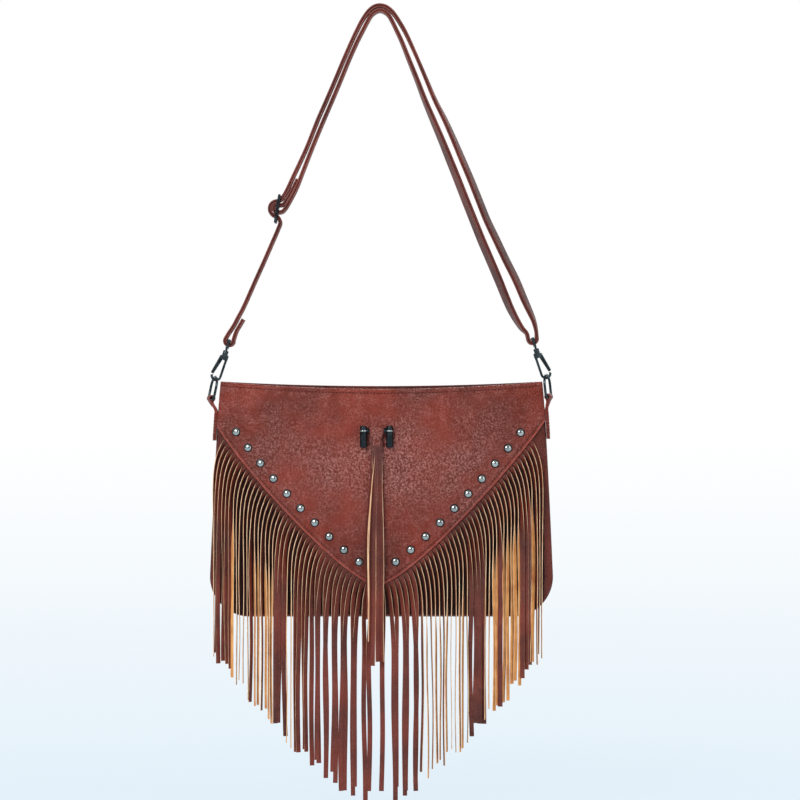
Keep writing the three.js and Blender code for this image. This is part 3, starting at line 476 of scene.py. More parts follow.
class Graph:
    """Builds the nodes of a material or the world."""

    def __init__(self, owner):
        self.owner = owner
        owner.use_nodes = True
        self.tree = owner.node_tree
        self.tree.nodes.clear()
        self.coords = self.node("ShaderNodeTexCoord").outputs["Object"]

    def feed(self, socket, value):
        if isinstance(value, bpy.types.NodeSocket):
            self.tree.links.new(value, socket)
        else:
            socket.default_value = value

    def node(self, kind, inputs=None, **settings):
        made = self.tree.nodes.new(kind)
        for key, value in settings.items():
            setattr(made, key, value)
        for key, value in (inputs or {}).items():
            self.feed(made.inputs[key], value)
        return made

    def noise(self, scale, detail=3.0, roughness=0.55, coords=None):
        made = self.node("ShaderNodeTexNoise", {
            "Vector": coords or self.coords, "Scale": scale, "Detail": detail, "Roughness": roughness,
        })
        return made.outputs["Fac"]

    def cells(self, scale, feature="F1", coords=None):
        inputs = {"Vector": coords or self.coords, "Scale": scale}
        return self.node("ShaderNodeTexVoronoi", inputs, feature=feature).outputs["Distance"]

    def stretched(self, scale):
        return self.node("ShaderNodeMapping", {"Vector": self.coords, "Scale": scale}).outputs["Vector"]

    def remap(self, value, low, high, to_low=0.0, to_high=1.0):
        made = self.node("ShaderNodeMapRange", {
            "Value": value, "From Min": low, "From Max": high, "To Min": to_low, "To Max": to_high,
        })
        return made.outputs["Result"]

    def vector(self, operation, a, b=(0, 0, 0)):
        return self.node("ShaderNodeVectorMath", {0: a, 1: b}, operation=operation).outputs

    def math(self, operation, *values):
        return self.node("ShaderNodeMath", dict(enumerate(values)), operation=operation).outputs[0]

    def blend(self, *terms):
        """The sum of (share, value) terms."""
        total = None
        for share, value in terms:
            part = self.math("MULTIPLY", value, share)
            total = part if total is None else self.math("ADD", total, part)
        return total

    def mix(self, share, a, b):
        return self.node("ShaderNodeMix", {0: share, 6: a, 7: b}, data_type="RGBA").outputs[2]

    def relief(self, height, strength, distance):
        made = self.node("ShaderNodeBump", {"Height": height, "Strength": strength, "Distance": distance})
        return made.outputs["Normal"]

    def mixed_output(self, share, a, b, kind="ShaderNodeOutputMaterial"):
        """The owner's output, from shader a to shader b as the share grows."""
        mixed = self.node("ShaderNodeMixShader", {0: share, 1: a.outputs[0], 2: b.outputs[0]})
        self.node(kind, {"Surface": mixed.outputs[0]})

    def surface(self, **inputs):
        names = {key.replace("_", " "): value for key, value in inputs.items()}
        shader = self.node("ShaderNodeBsdfPrincipled", names)
        self.node("ShaderNodeOutputMaterial", {"Surface": shader.outputs[0]})
        return self.owner


def material_graph(name):
    return Graph(bpy.data.materials.new(name))


# A painted sheen on the yoke's belly, standing for light caught there: its middle, its reach and its stretch
PAINTED_SHEEN_MIDDLE = (0.004, -0.020, -0.448)
PAINTED_SHEEN_REACH = 0.075
PAINTED_SHEEN_SHAPE = (0.46, 1, 1)


def painted_sheen_patch(graph, broad):
    """Where the yoke's middle gets a painted sheen, standing for the light it catches, fading out with an
    uneven edge.
    """
    place = graph.vector("SUBTRACT", graph.coords, PAINTED_SHEEN_MIDDLE)["Vector"]
    away = graph.vector("LENGTH", graph.vector("MULTIPLY", place, PAINTED_SHEEN_SHAPE)["Vector"])["Value"]
    uneven = graph.math("ADD", away, graph.remap(broad, 0.3, 0.7, -0.5 * PAINTED_SHEEN_REACH, 0.5 * PAINTED_SHEEN_REACH))
    return graph.remap(uneven, 0.0, PAINTED_SHEEN_REACH, 1.0, 0.0)


def warped_coords(graph):
    """Coordinates shaken a little, so that the pebbles' outlines aren't straight."""
    shake = graph.node("ShaderNodeTexNoise", {"Vector": graph.coords, "Scale": 260.0, "Detail": 2.0})
    inputs = {0: 0.0012, 4: graph.coords, 5: shake.outputs["Color"]}
    return graph.node("ShaderNodeMix", inputs, data_type="VECTOR").outputs[1]


def grained_leather(name, deep, middle, painted_glint, grain_size=2.2, relief=0.5, gloss=0.42, speckled=0.8,
                    painted_sheen=False):
    """Pebbled full-grain leather: rounded pebbles with fine creases, painted shade in the creases, and
    painted glints of light in patches.
    """
    graph = material_graph(name)
    coords = warped_coords(graph)
    pebbles = graph.cells(1000 / grain_size, "SMOOTH_F1", coords)
    tops = graph.remap(pebbles, 0.15, 0.5, 1.0, 0.0)
    crease = graph.remap(graph.cells(1000 / grain_size, "DISTANCE_TO_EDGE", coords), 0.0, 0.09)
    fine = graph.noise(1500, 4, 0.6)
    height = graph.blend((0.55, crease), (0.5, tops), (0.28, fine), (0.9, graph.noise(330, 3, 0.6)))
    broad = graph.noise(22, 3, 0.5)
    base = graph.mix(graph.remap(broad, 0.35, 0.65), colour(deep), colour(middle))
    # Painted shade: the creases between the pebbles darken towards the deep colour
    base = graph.mix(graph.remap(crease, 0.0, 1.0, 0.6, 0.0), base, colour(deep))
    # Painted highlight: glints of the light colour in random patches, and over the painted sheen patch where
    # asked
    patches = graph.remap(graph.noise(90, 2), 0.35, 0.62, 0.0, 0.45)
    if painted_sheen:
        patches = graph.math("MAXIMUM", patches, painted_sheen_patch(graph, broad))
    grain = graph.noise(1150 / grain_size, 6, 0.74)
    speckle = graph.math("MULTIPLY", graph.remap(grain, 0.45, 0.64, 0.0, speckled), patches)
    base = graph.mix(speckle, base, colour(painted_glint))
    rough = graph.remap(fine, 0.3, 0.7, gloss + 0.1, gloss - 0.06)
    return graph.surface(
        Base_Color=base, Roughness=rough, Normal=graph.relief(height, relief, 0.0008),
        Specular_IOR_Level=0.35)


def napped_leather(name, dark, light, relief=0.35):
    """The raw inner face of the leather: short nap, streaked along the strip."""
    graph = material_graph(name)
    streaks = graph.noise(1.0, 3, 0.6, graph.stretched((700, 700, 40)))
    share = graph.blend((0.6, streaks), (0.4, graph.noise(60, 2)))
    base = graph.mix(graph.remap(share, 0.35, 0.62), colour(dark), colour(light))
    height = graph.blend((1.0, graph.noise(1900, 3, 0.7)), (0.5, streaks))
    return graph.surface(
        Base_Color=base, Roughness=0.86, Normal=graph.relief(height, relief, 0.0004),
        Specular_IOR_Level=0.25, Sheen_Weight=0.25, Sheen_Roughness=0.4)


def woven_cloth(name, dark, light, pitch=0.7, relief=0.4):
    """A plain weave: two crossed sets of threads."""
    graph = material_graph(name)
    thread_scale = 1000 / pitch / 20 * math.pi
    waves = [
        graph.node("ShaderNodeTexWave", {
            "Vector": graph.coords, "Scale": thread_scale, "Distortion": 0.6, "Detail": 1.0,
        }, bands_direction=direction).outputs["Fac"]
        for direction in ("X", "Z")
    ]
    weave = graph.math("MULTIPLY", *waves)
    share = graph.blend((0.7, weave), (0.3, graph.noise(1200, 3)))
    return graph.surface(
        Base_Color=graph.mix(share, colour(dark), colour(light)), Roughness=0.9,
        Normal=graph.relief(weave, relief, 0.0003), Specular_IOR_Level=0.3, Sheen_Weight=0.2)


def gunmetal_finish(name, base_colour, worn_colour, gloss=0.2):
    """Plated metal: smoky and glossy, with faint smudges and fine scratches."""
    graph = material_graph(name)
    smudge = graph.noise(120, 3, 0.6)
    scratch = graph.noise(1.0, 2, 0.5, graph.stretched((2500, 300, 2500)))
    base = graph.mix(graph.remap(smudge, 0.4, 0.75), colour(base_colour), colour(worn_colour))
    rough = graph.math("ADD", graph.remap(smudge, 0.3, 0.7, gloss - 0.05, gloss + 0.08),
                       graph.remap(scratch, 0.5, 0.8, 0.0, 0.06))
    return graph.surface(
        Base_Color=base, Metallic=1.0, Roughness=rough, Normal=graph.relief(scratch, 0.03, 0.0001))


BODY = grained_leather("body_leather", (102, 34, 20), (142, 52, 36), (200, 132, 124), relief=1.0,
                       speckled=0.95, painted_sheen=True)
PANEL = grained_leather("panel_leather", (84, 30, 21), (112, 44, 33), (146, 84, 76), relief=0.8)
# Painted shade: the front panel behind the fringe, near black as the shadow the strips cast on it
PAINTED_FRINGE_SHADE = grained_leather("fringe_shadow_paint", (30, 8, 5), (46, 14, 9), (60, 24, 18),
                          relief=0.4, gloss=0.75)
GROOVE = grained_leather("strap_groove", (58, 18, 13), (92, 34, 26), (120, 60, 50),
                         grain_size=1.4, relief=0.2, gloss=0.6)
# Painted highlight: the turned edge along the V seam is lighter, as the light its raised rim catches
TURNED_EDGE_HIGHLIGHT = grained_leather("turned_edge", (150, 62, 50), (186, 88, 74), (212, 128, 114),
                        grain_size=1.8, relief=0.3)
STRAP_SKIN = grained_leather("strap_leather", (70, 26, 19), (102, 44, 34), (146, 96, 88),
                             grain_size=1.8, relief=0.35, gloss=0.45)
STRAP_EDGE = grained_leather("strap_edge", (92, 36, 27), (122, 52, 41), (164, 98, 86),
                             grain_size=1.4, relief=0.2)
FACE = grained_leather("fringe_face", (74, 26, 18), (118, 48, 35), (156, 86, 72),
                       grain_size=1.7, relief=0.4, gloss=0.5)
BACK = napped_leather("fringe_back", (186, 108, 54), (246, 178, 104))
RAW = napped_leather("fringe_raw_edge", (212, 156, 112), (248, 214, 176), relief=0.2)
THREAD = woven_cloth("thread", (88, 30, 24), (134, 58, 48), pitch=0.35)
# Painted shade: a dark disc at each stitch hole stands for the shade inside it
HOLE_SHADE = napped_leather("stitch_hole_shade", (40, 14, 10), (62, 22, 17), relief=0.1)
LINING = woven_cloth("lining_cloth", (38, 30, 28), (58, 47, 43))
TAPE = woven_cloth("zip_tape_cloth", (42, 28, 24), (66, 46, 40), pitch=0.9)
GUNMETAL = gunmetal_finish("gunmetal", (46, 56, 60), (74, 84, 88))
STUD_METAL = gunmetal_finish("stud_gunmetal", (150, 160, 160), (186, 194, 194), gloss=0.14)
# Painted shade: the stud's flange is near black, as the shadow and dark reflection round the dome's foot
STUD_RIM_SHADE = gunmetal_finish("stud_rim_painted_shade", (28, 33, 35), (44, 50, 52), gloss=0.35)
GUNMETAL_DARK = gunmetal_finish("gunmetal_dark", (36, 44, 48), (58, 66, 70), gloss=0.26)


# The bag's outline and depth, by a share across (-1 to 1) and a share down (0 to 1)

def top_at(u, side=-1):
    return BAG_TOP - (FRONT_SAG if side < 0 else BACK_SAG) * (1 - u * u)


def share_down(u, z, side=-1):
    top = top_at(u, side)
    return (top - z) / (top - BAG_BOTTOM)


def share_across(x, z):
    return max(-1.0, min(1.0, (x - BAG_CENTRE_X) / half_width_at(z)))


def half_width_at(z):
    down = BAG_TOP - z
    straight = BAG_HEIGHT - BAG_CORNER_RADIUS
    turn = min(BAG_CORNER_RADIUS, max(0, down - straight))
    corner = BAG_CORNER_RADIUS - math.sqrt(BAG_CORNER_RADIUS ** 2 - turn ** 2)
    return BAG_TOP_HALF_WIDTH + BAG_FLARE * clamp(down / straight) ** BAG_FLARE_CURVE - corner


def half_depth_at(u, v):
    across = (1 - min(1, abs(u)) ** 2.5) ** 0.8
    swell = math.sin(math.pi / 2 * clamp(v / BELLY_SHARE)) if v > 0 else 0
    rise = MOUTH_HALF_DEPTH + (BELLY_HALF_DEPTH - MOUTH_HALF_DEPTH) * swell
    foot = math.sqrt(1 - clamp(v) ** 6)
    return CLEARANCE / 2 + rise * across * foot


def bag_point(u, v, offset, side=-1):
    top = top_at(u, side)
    z = top + (BAG_BOTTOM - top) * v
    return Vector((BAG_CENTRE_X + u * half_width_at(z), side * (half_depth_at(u, v) + offset), z))


def front_at(x, z):
    """How far the front panel's face stands forward, also beside and below the bag."""
    u = (x - BAG_CENTRE_X) / half_width_at(max(z, BAG_BOTTOM))
    return half_depth_at(u, share_down(u, z)) + PANEL_THICKNESS


# The V seam, one curve a side, from its tip at the middle out to the side seam

class Seam:
    def __init__(self, side):
        sign = SIDES[side]
        end_z = BAG_TOP - SEAM_END_DROP[side]
        self.sign = sign
        self.controls = [
            Vector((SEAM_CENTRE_X, 0, SEAM_TIP_Z)),
            Vector((SEAM_CENTRE_X + sign * SEAM_TIP_REACH, 0, SEAM_TIP_Z)),
            Vector((SEAM_CENTRE_X + sign * SEAM_SHOULDER_REACH, 0, BAG_TOP - SEAM_SHOULDER_DROP)),
            Vector((BAG_CENTRE_X + sign * half_width_at(end_z), 0, end_z)),
        ]
        places = [self.point(t) for t in shares(SEAM_STEPS, 0, 1)]
        self.lengths = [0.0]
        for a, b in zip(places, places[1:]):
            self.lengths.append(self.lengths[-1] + (b - a).length)
        self.length = self.lengths[-1]

    def point(self, t):
        a, b, c, d = self.controls
        s = 1 - t
        return a * s ** 3 + b * (3 * s * s * t) + c * (3 * s * t * t) + d * t ** 3

    def run(self, t):
        a, b, c, d = self.controls
        s = 1 - t
        return ((b - a) * s * s + (c - b) * (2 * s * t) + (d - c) * t * t).normalized()

    def share(self, along):
        """The curve's parameter at a length along it."""
        if along >= self.length:
            return 1.0
        low = bisect.bisect(self.lengths, along) - 1
        step = (along - self.lengths[low]) / (self.lengths[low + 1] - self.lengths[low])
        return (low + step) / (len(self.lengths) - 1)

    def beside(self, along, inward):
        t = self.share(along)
        run = self.run(t)
        return self.point(t) + Vector((-run.z, 0, run.x)) * (self.sign * inward)


SEAMS = {side: Seam(side) for side in SIDES}


def seam_at(x):
    """The seam at a place across the bag: its height, and how level it runs there."""
    seam = SEAMS["left" if x < SEAM_CENTRE_X else "right"]
    reach = abs(x - SEAM_CENTRE_X)
    low, high = 0.0, 1.0
    for _ in range(24):
        middle = (low + high) / 2
        if abs(seam.point(middle).x - SEAM_CENTRE_X) < reach:
            low = middle
        else:
            high = middle
    return seam.point(low).z, abs(seam.run(low).x)


def yoke_offset(above, level):
    lift_end = (FRINGE_BAND_WIDTH + YOKE_LIFT_MARGIN) / level
    share = 1 - (above - lift_end) / YOKE_LIFT_RUN
    return YOKE_GAP + (BAND_TOP + FRINGE_SEAT - YOKE_GAP) * clamp(share)


def yoke_face(x, z):
    height, level = seam_at(x)
    return Vector((x, -front_at(x, z) - yoke_offset(z - height, level) - YOKE_THICKNESS, z))


# Soft folds in the yoke, each a ridge between two places (x, z), with its half width and height
FOLD_DEPTH = 2.4
YOKE_FOLDS = [
    ((-160, -390), (-132, -416), 2.6, 1.1),
    ((-134, -414), (-92, -432), 4, 1.5),
    ((-96, -432), (-54, -430), 6, 1.7),
    ((-58, -430), (-18, -408), 6, 1.4),
    ((-112, -414), (-62, -386), 8, 1.8),
    ((-84, -422), (-36, -390), 7, 1.4),
    ((-132, -400), (-92, -382), 6, 1.2),
    ((40, -396), (84, -422), 8, 1.3),
    ((84, -398), (128, -428), 7, 1.3),
    ((110, -390), (150, -398), 5, 0.9),
    ((-26, -460), (-4, -540), 12, 1.4),
    ((40, -450), (14, -520), 11, 1.2),
    ((-70, -452), (-34, -478), 9, 1.0),
    ((-158, -394), (-148, -407), 1.5, 0.45),
    ((-149, -406), (-132, -422), 1.6, 0.55),
    ((-134, -421), (-112, -430), 1.8, 0.5),
    ((-114, -430), (-92, -440), 2.2, 0.45),
    ((-100, -402), (-72, -390), 2.6, 0.4),
    ((-86, -420), (-58, -404), 2.8, 0.4),
    ((96, -414), (122, -430), 2.4, 0.4),
    ((60, -408), (88, -426), 2.6, 0.35),
]


def fold_height(x, z):
    total = 0.0
    for (x1, z1), (x2, z2), width, height in YOKE_FOLDS:
        dx, dz = x2 - x1, z2 - z1
        share = clamp(((x - x1) * dx + (z - z1) * dz) / (dx * dx + dz * dz))
        away = math.hypot(x - x1 - share * dx, z - z1 - share * dz)
        total += height * bump(away, width) * math.sin(math.pi * (0.1 + 0.8 * share))
    return total


def softness(x, z, seed=0.0):
    """Broad unevenness of the leather, 0 to about 1 mm outward."""
    place = Vector((x, 0, z))
    return max(0.0, 0.45 + 0.55 * wobble(place, 42, seed) + 0.25 * wobble(place, 17, seed + 5))


def edge_drop(distance, radius):
    """How far a rounded edge falls back at a distance in from its rim."""
    share = clamp(1 - distance / radius)
    return radius * (1 - math.sqrt(max(0.0, 1 - share * share)))


# Yoke: a sheet with a turned, stitched edge along the V seam and along the mouth

NEAR_SEAM = (0, 0.15, 0.4, 0.75, 1.2, 1.7, 2.2, 2.6, 2.95, 3.3, 3.65, 4.0, 4.6, 5.6, 7, 8.4, 10, 12.5)
NEAR_TOP = (0, 0.15, 0.4, 0.8, 1.4, 2.1, 2.8, 3.3, 3.75, 4.2, 4.65, 5.1, 5.9, 7.2, 9)


def yoke_detail(x, z, from_seam, from_top, from_side):
    turned_edge = 0.55 * bump(from_seam - 0.9, 0.8) + 0.3 * bump(from_top - 1.6, 1.2)
    groove = 0.38 * bump(from_seam - SEAM_STITCH_INSET, 0.55) + 0.34 * bump(from_top - TOP_STITCH_DROP, 0.6)
    rounding = edge_drop(from_seam, 0.9) + edge_drop(from_top, 1.1) + edge_drop(from_side, 0.9)
    inland = smooth((from_seam - 17) / 7) * smooth((from_top - 6) / 8) * smooth(from_side / 6)
    away_from_tassel = 1 - bump(x - TASSEL_X, 19) * bump(z - TASSEL_Z + 8, 17)
    beside_stitches = smooth((from_seam - 3) / 3) * smooth((12 - from_seam) / 6)
    pucker = 0.1 * beside_stitches * wobble(Vector((x, 0, z)), 6, 2)
    return (turned_edge - groove - rounding + pucker
            + inland * away_from_tassel * (softness(x, z) + FOLD_DEPTH * fold_height(x, z)))


def yoke_columns():
    ends = (0.9993, 0.998, 0.996, 0.993)
    ts = sorted(set(shares(130, 0, 1) + list(ends)))
    return [(SEAMS["left"], t) for t in reversed(ts)] + [(SEAMS["right"], t) for t in ts[1:]]


def make_yoke():
    middle_rows = 40
    outer, inner = [], []
    for seam, t in yoke_columns():
        foot = seam.point(t)
        level = abs(seam.run(t).x)
        width = half_width_at(foot.z)
        u = share_across(foot.x, foot.z)
        top = top_at(u)
        heights = [foot.z + d / level for d in NEAR_SEAM]
        heights += shares(middle_rows, heights[-1], top - NEAR_TOP[-1])[1:-1]
        heights += [top - d for d in reversed(NEAR_TOP)]
        column_out, column_in = [], []
        for z in heights:
            depth = PANEL_THICKNESS + yoke_offset(z - foot.z, level)
            x = BAG_CENTRE_X + u * half_width_at(z)
            detail = yoke_detail(x, z, (z - foot.z) * level, top - z, (1 - abs(u)) * width)
            column_out.append(bag_point(u, share_down(u, z), depth + YOKE_THICKNESS + detail))
            column_in.append(bag_point(u, share_down(u, z), depth + 0.1))
        outer.append(column_out)
        inner.append(column_in)
    # The turned rows along the seam take the lighter leather, a painted highlight
    turned_rows = sum(1 for d in NEAR_SEAM if d <= TURNED_EDGE) - 1
    solid, slots = slotted_sheet(outer, inner, lambda column, row: int(row < turned_rows))
    piece = Piece().add(solid, slots)
    piece.make("yoke_skin", "bag", "body_leather", [BODY, TURNED_EDGE_HIGHLIGHT], ["front_yoke"], sharp=60)


# Panels

def eased(count, start):
    """Shares from start to 1, closer together towards the rims."""
    return [math.sin(math.pi / 2 * s) for s in shares(count, start, 1)]


def panel_detail(u, v, side):
    place = bag_point(u, v, 0, side)
    from_side = (1 - abs(u)) * half_width_at(place.z)
    from_rim = min(from_side, (1 - v) * BAG_HEIGHT)
    from_top = v * BAG_HEIGHT
    rounding = edge_drop(from_rim, 1.1) + edge_drop(from_top, 1.1)
    seam = 0.3 * bump(from_rim - 1.8, 1.1) - 0.3 * bump(from_rim - 4.4, 0.9)
    if side < 0:
        return seam - rounding
    top_edge = 0.3 * bump(from_top - 1.6, 1.2) - 0.34 * bump(from_top - TOP_STITCH_DROP, 0.6)
    inland = smooth((from_rim - 7) / 25) * smooth((from_top - 7) / 16)
    return seam + top_edge - rounding + inland * 1.5 * softness(place.x, place.z, 11)


def in_painted_fringe_shade(u, v):
    """Whether the front panel lies behind the fringe, where it is painted near black as the fringe's shade.
    """
    place = bag_point(u, v, 0)
    across = place.x - BAG_CENTRE_X
    start = FRINGE_SHADE_START["left" if across < 0 else "right"]
    reach = start + (FRINGE_SHADE_REACH - start) * smooth((FRINGE_SHADE_TOP - place.z) / FRINGE_SHADE_RUN)
    return abs(across) < reach and BAG_BOTTOM + 3 < place.z < seam_at(place.x)[0] + 4


def make_panel(side, name, node):
    columns = eased(150, -1)
    rows = sorted(set(eased(96, 0) + [d / BAG_HEIGHT for d in NEAR_TOP[1:]]))

    def skin(offset_at):
        return [[bag_point(u, v, offset_at(u, v), side) for u in columns] for v in rows]

    # The front panel behind the fringe takes the second material, painted as the fringe's shade
    solid, slots = slotted_sheet(
        skin(lambda u, v: PANEL_THICKNESS + panel_detail(u, v, side)), skin(lambda u, v: 0.05),
        lambda j, i: int(side < 0 and in_painted_fringe_shade(columns[i], rows[j])))
    Piece().add(solid, slots).make(name, "bag", "body_leather", [PANEL, PAINTED_FRINGE_SHADE], [node], sharp=60)


def make_lining():
    columns = [u for u in eased(90, -1) if abs(u) < LINING_REACH]
    rows = [LINING_TOP] + [v for v in eased(50, 0) if LINING_TOP < v < LINING_BOTTOM]

    def skin(offset, squeeze, raised, soft):
        made = []
        for j, v in enumerate(rows):
            share = v - raised if j == len(rows) - 1 else v
            ring = []
            for side, order in ((-1, columns), (1, columns[::-1])):
                for u in order:
                    dent = soft * smooth(v * 6) * softness(u * 160, -v * 230, 20 + side)
                    ring.append(bag_point(u * squeeze, share, offset - dent, side))
            made.append(ring)
        return made

    outer = skin(-CLEARANCE, 1, 0, 0)
    inner = skin(-CLEARANCE - LINING_THICKNESS, 1 - LINING_THICKNESS / BAG_TOP_HALF_WIDTH,
                 LINING_THICKNESS / BAG_HEIGHT, 0.8)
    around = len(outer[0])
    size = len(outer) * around
    points = [p for ring in outer + inner for p in ring]
    faces = []
    for i in range(around):
        after = (i + 1) % around
        for j in range(len(outer) - 1):
            k = j * around
            faces.append((k + i, k + after, k + around + after, k + around + i))
            faces.append((size + k + i, size + k + around + i, size + k + around + after, size + k + after))
        faces.append((after, i, size + i, size + after))
    foot = size - around
    for i in range(len(columns) - 1):
        facing = around - 1 - i
        faces.append((foot + i, foot + i + 1, foot + facing - 1, foot + facing))
        faces.append((size + foot + i, size + foot + facing, size + foot + facing - 1, size + foot + i + 1))
    Piece().add((points, faces)).make("lining_pouch", "bag", "lining", [LINING], ["lining"], sharp=60)


# Stitches: a short rounded thread between two holes

def stitch_frame(point, ahead, normal):
    run = (ahead - point).normalized()
    out = (normal - run * normal.dot(run)).normalized()
    axes = Matrix((out.cross(run), out, run)).transposed().to_4x4()
    return Matrix.Translation(point) @ axes


def face_normal(face, x, z, reach=1):
    slope_x = face(x + reach, z) - face(x - reach, z)
    slope_z = face(x, z + reach) - face(x, z - reach)
    return slope_x.cross(slope_z).normalized()


def add_stitches(piece, places, face, depth=0.0):
    """Threads and holes along places (x, z), seated on face(x, z), which gives a point; each hole is a dark
    disc, painted shade.
    """
    half = STITCH_PITCH * 0.33
    end = [(0.12, -half), (0.3, -half * 0.8), (0.36, -half * 0.3)]
    thread = end + [(r, -h) for r, h in reversed(end)]
    hole = [(0.2, -0.3), (0.6, -0.14), (0.7, 0.0), (0.6, 0.14), (0.2, 0.3)]
    for (x, z), (x2, z2) in zip(places, places[1:]):
        here, ahead = face(x, z), face(x2, z2)
        normal = face_normal(face, x, z)
        if normal.y * here.y < 0:
            normal = -normal
        middle = (here + ahead) / 2 - normal * depth
        piece.add(lathe(thread, 6), 0, stitch_frame(middle, ahead, normal))
        # A dark disc at the hole, painted shade
        beneath = stitch_frame(here - normal * (depth + 0.02), ahead, normal)
        piece.add(lathe(hole, 8), 1, beneath @ Matrix.Rotation(-math.pi / 2, 4, "X"))


def seam_places(side, inset):
    seam = SEAMS[side]
    count = int((seam.length - 5) / STITCH_PITCH)
    return [(p.x, p.z) for p in (seam.beside(3 + i * STITCH_PITCH, inset) for i in range(count))]


def make_seam_stitches():
    piece = Piece()
    for side in SIDES:
        add_stitches(piece, seam_places(side, SEAM_STITCH_INSET), yoke_face, 0.32)
    piece.make("seam_stitches", "bag", "body_leather", [THREAD, HOLE_SHADE])


def mouth_face(side, offset):
    def face(x, z):
        u = share_across(x, z)
        v = max(0.0, share_down(u, z, side))
        return Vector((x, side * (half_depth_at(u, v) + PANEL_THICKNESS + offset), z))
    return face


def make_mouth_stitches():
    piece = Piece()
    reach = BAG_TOP_HALF_WIDTH - 2.5
    count = int(2 * reach / STITCH_PITCH)
    for side, offset in ((-1, YOKE_GAP + YOKE_THICKNESS), (1, 0)):
        places = [(BAG_CENTRE_X + x, top_at(x / BAG_TOP_HALF_WIDTH, side) - TOP_STITCH_DROP)
                  for x in shares(count, -reach, reach)]
        add_stitches(piece, places, mouth_face(side, offset), 0.28)
    piece.make("mouth_stitches", "bag", "body_leather", [THREAD, HOLE_SHADE])


# Fringe

# How a strip hangs by where it ends up: from x, to x, its turn at the end, its turn at the bend
STRIP_LOOKS = {"left": [
    (-200, -172, 58, 35), (-172, -164.5, 84, 50), (-164.5, -149.5, 24, 40), (-149.5, -143, 158, 60),
    (-143, -132, 82, 50), (-132, -126, 55, 50), (-126, -121, 128, 55), (-121, -116.5, 70, 50),
    (-116.5, -111, 140, 60), (-111, -105, 130, 60), (-105, -93, 8, 30), (-93, -86.5, 96, 50),
    (-86.5, -66, 28, 34), (-66, 0, 6, 18),
], "right": [
    (-4, 38.5, -4, 22), (38.5, 44.5, 64, 46), (44.5, 50.5, 100, 60), (50.5, 55, 82, 55), (55, 60, 112, 60),
    (60, 66, 80, 55), (66, 71, 106, 60), (71, 77, 88, 55), (77, 84, 112, 60), (84, 89, 78, 55),
    (89, 105, 8, 40), (105, 110, 104, 60), (110, 118, 162, 65), (118, 124, 14, 50), (124, 134, 168, 70),
    (134, 141, 160, 66), (141, 149, 18, 50), (149, 155, 158, 66), (155, 200, 78, 55),
]}


def strip_turns(side, hang_x):
    """The turn of a strip at its bend and at its end, in degrees."""
    bend_turn, end_turn = 40, 40
    for low, high, end, bend in STRIP_LOOKS[side]:
        if low <= hang_x < high:
            bend_turn, end_turn = bend, end
    if end_turn > WIDEST_BACK:
        end_turn = WIDEST_BACK + (end_turn - WIDEST_BACK) * 0.45
    return 70 if bend_turn > 45 else bend_turn + 18, end_turn


def strip_section(width, thickness):
    """Face, raw edge, back and raw edge in turn, with the face slightly crowned."""
    w, t = width / 2, thickness / 2
    return [
        (w, -t * 0.75), (w * 0.5, -t * 1.05), (-w * 0.5, -t * 1.05), (-w, -t * 0.75),
        (-w, t * 0.75), (-w * 0.5, t * 0.95), (w * 0.5, t * 0.95), (w, t * 0.75),
    ]


SECTION_SLOTS = (0, 0, 0, 2, 1, 1, 1, 2)


def add_ribbon(piece, path, turns, width, thickness):
    """A strip of leather along a path: slot 0 is its face, 1 its back and 2 its raw edges."""
    section = strip_section(width, thickness)
    slots = list(SECTION_SLOTS) * (len(path) - 1) + [2, 2]
    piece.add(sweep(path, lambda i: turned(section, turns[i])), slots)


def fringe_strip(piece, side, index, along, length):
    """One strip: out from the seam, round its bend, then down, lying on the panel and on its neighbours."""
    seam, sign = SEAMS[side], SIDES[side]
    root = FRINGE_BAND_INSET + 1
    point = seam.beside(along, root)
    step = length / FRINGE_STEPS
    run = seam.run(seam.share(along))
    start_tilt = math.atan2(abs(run.z), abs(run.x))
    tilts = [start_tilt * math.exp(-i * step / FRINGE_BEND) for i in range(FRINGE_STEPS + 1)]
    hang_x = point.x + sign * step * sum(math.sin(tilt) for tilt in tilts[:-1])
    bend_turn, end_turn = strip_turns(side, hang_x)
    layer = (index % 2) * 1.5
    paired = abs(end_turn) < 30 and abs(hang_x - SEAM_CENTRE_X) < 64
    pairing = (1.7 if index % 2 else -1.7) if paired else 0.0
    bend_turn += 4 * variation(index + 90)
    end_turn += 7 * variation(index + 40)
    sway = 1.3 * variation(index + 7 + (100 if side == "left" else 0))
    curl = 1.1 * variation(index + 300)
    stray = -STRAY * smooth((abs(hang_x) - STRAY_REACH) / 5) if side == "left" else 0.0
    path, turns = [], []
    proud = 0.0
    for i, tilt in enumerate(tilts):
        run = i * step
        turn = bend_turn * smooth((run - root) / 10) + (end_turn - bend_turn) * smooth((run - 26) / 66)
        turn = math.radians(turn)
        half_depth = (FRINGE_STRIP_WIDTH * abs(math.sin(turn)) + FRINGE_THICKNESS * abs(math.cos(turn))) / 2
        reach = FRINGE_SEAT + (FRINGE_BAND_THICKNESS - FRINGE_THICKNESS) / 2 + half_depth
        proud = max(proud, front_at(point.x, point.z) + reach + layer * smooth((run - 7) / 26))
        if i % STEPS_PER_POINT == 0:
            down = smooth((run - 30) / 120)
            lateral = pairing * smooth((run - 16) / 60) + stray * smooth((run - 12) / 30)
            lateral += down * (sway + curl * math.sin(run / 31 + index))
            depth = 0.8 * down * math.sin(run / 43 + 2 * index)
            path.append(Vector((point.x + lateral, -proud - depth * (1 if depth > 0 else 0.3), point.z)))
            turns.append(turn * sign)
        point.x += sign * math.sin(tilt) * step
        point.z -= math.cos(tilt) * step
    width = FRINGE_STRIP_WIDTH + 0.25 * variation(index + 17)
    add_ribbon(piece, path, turns, width, 0.8 * FRINGE_THICKNESS)


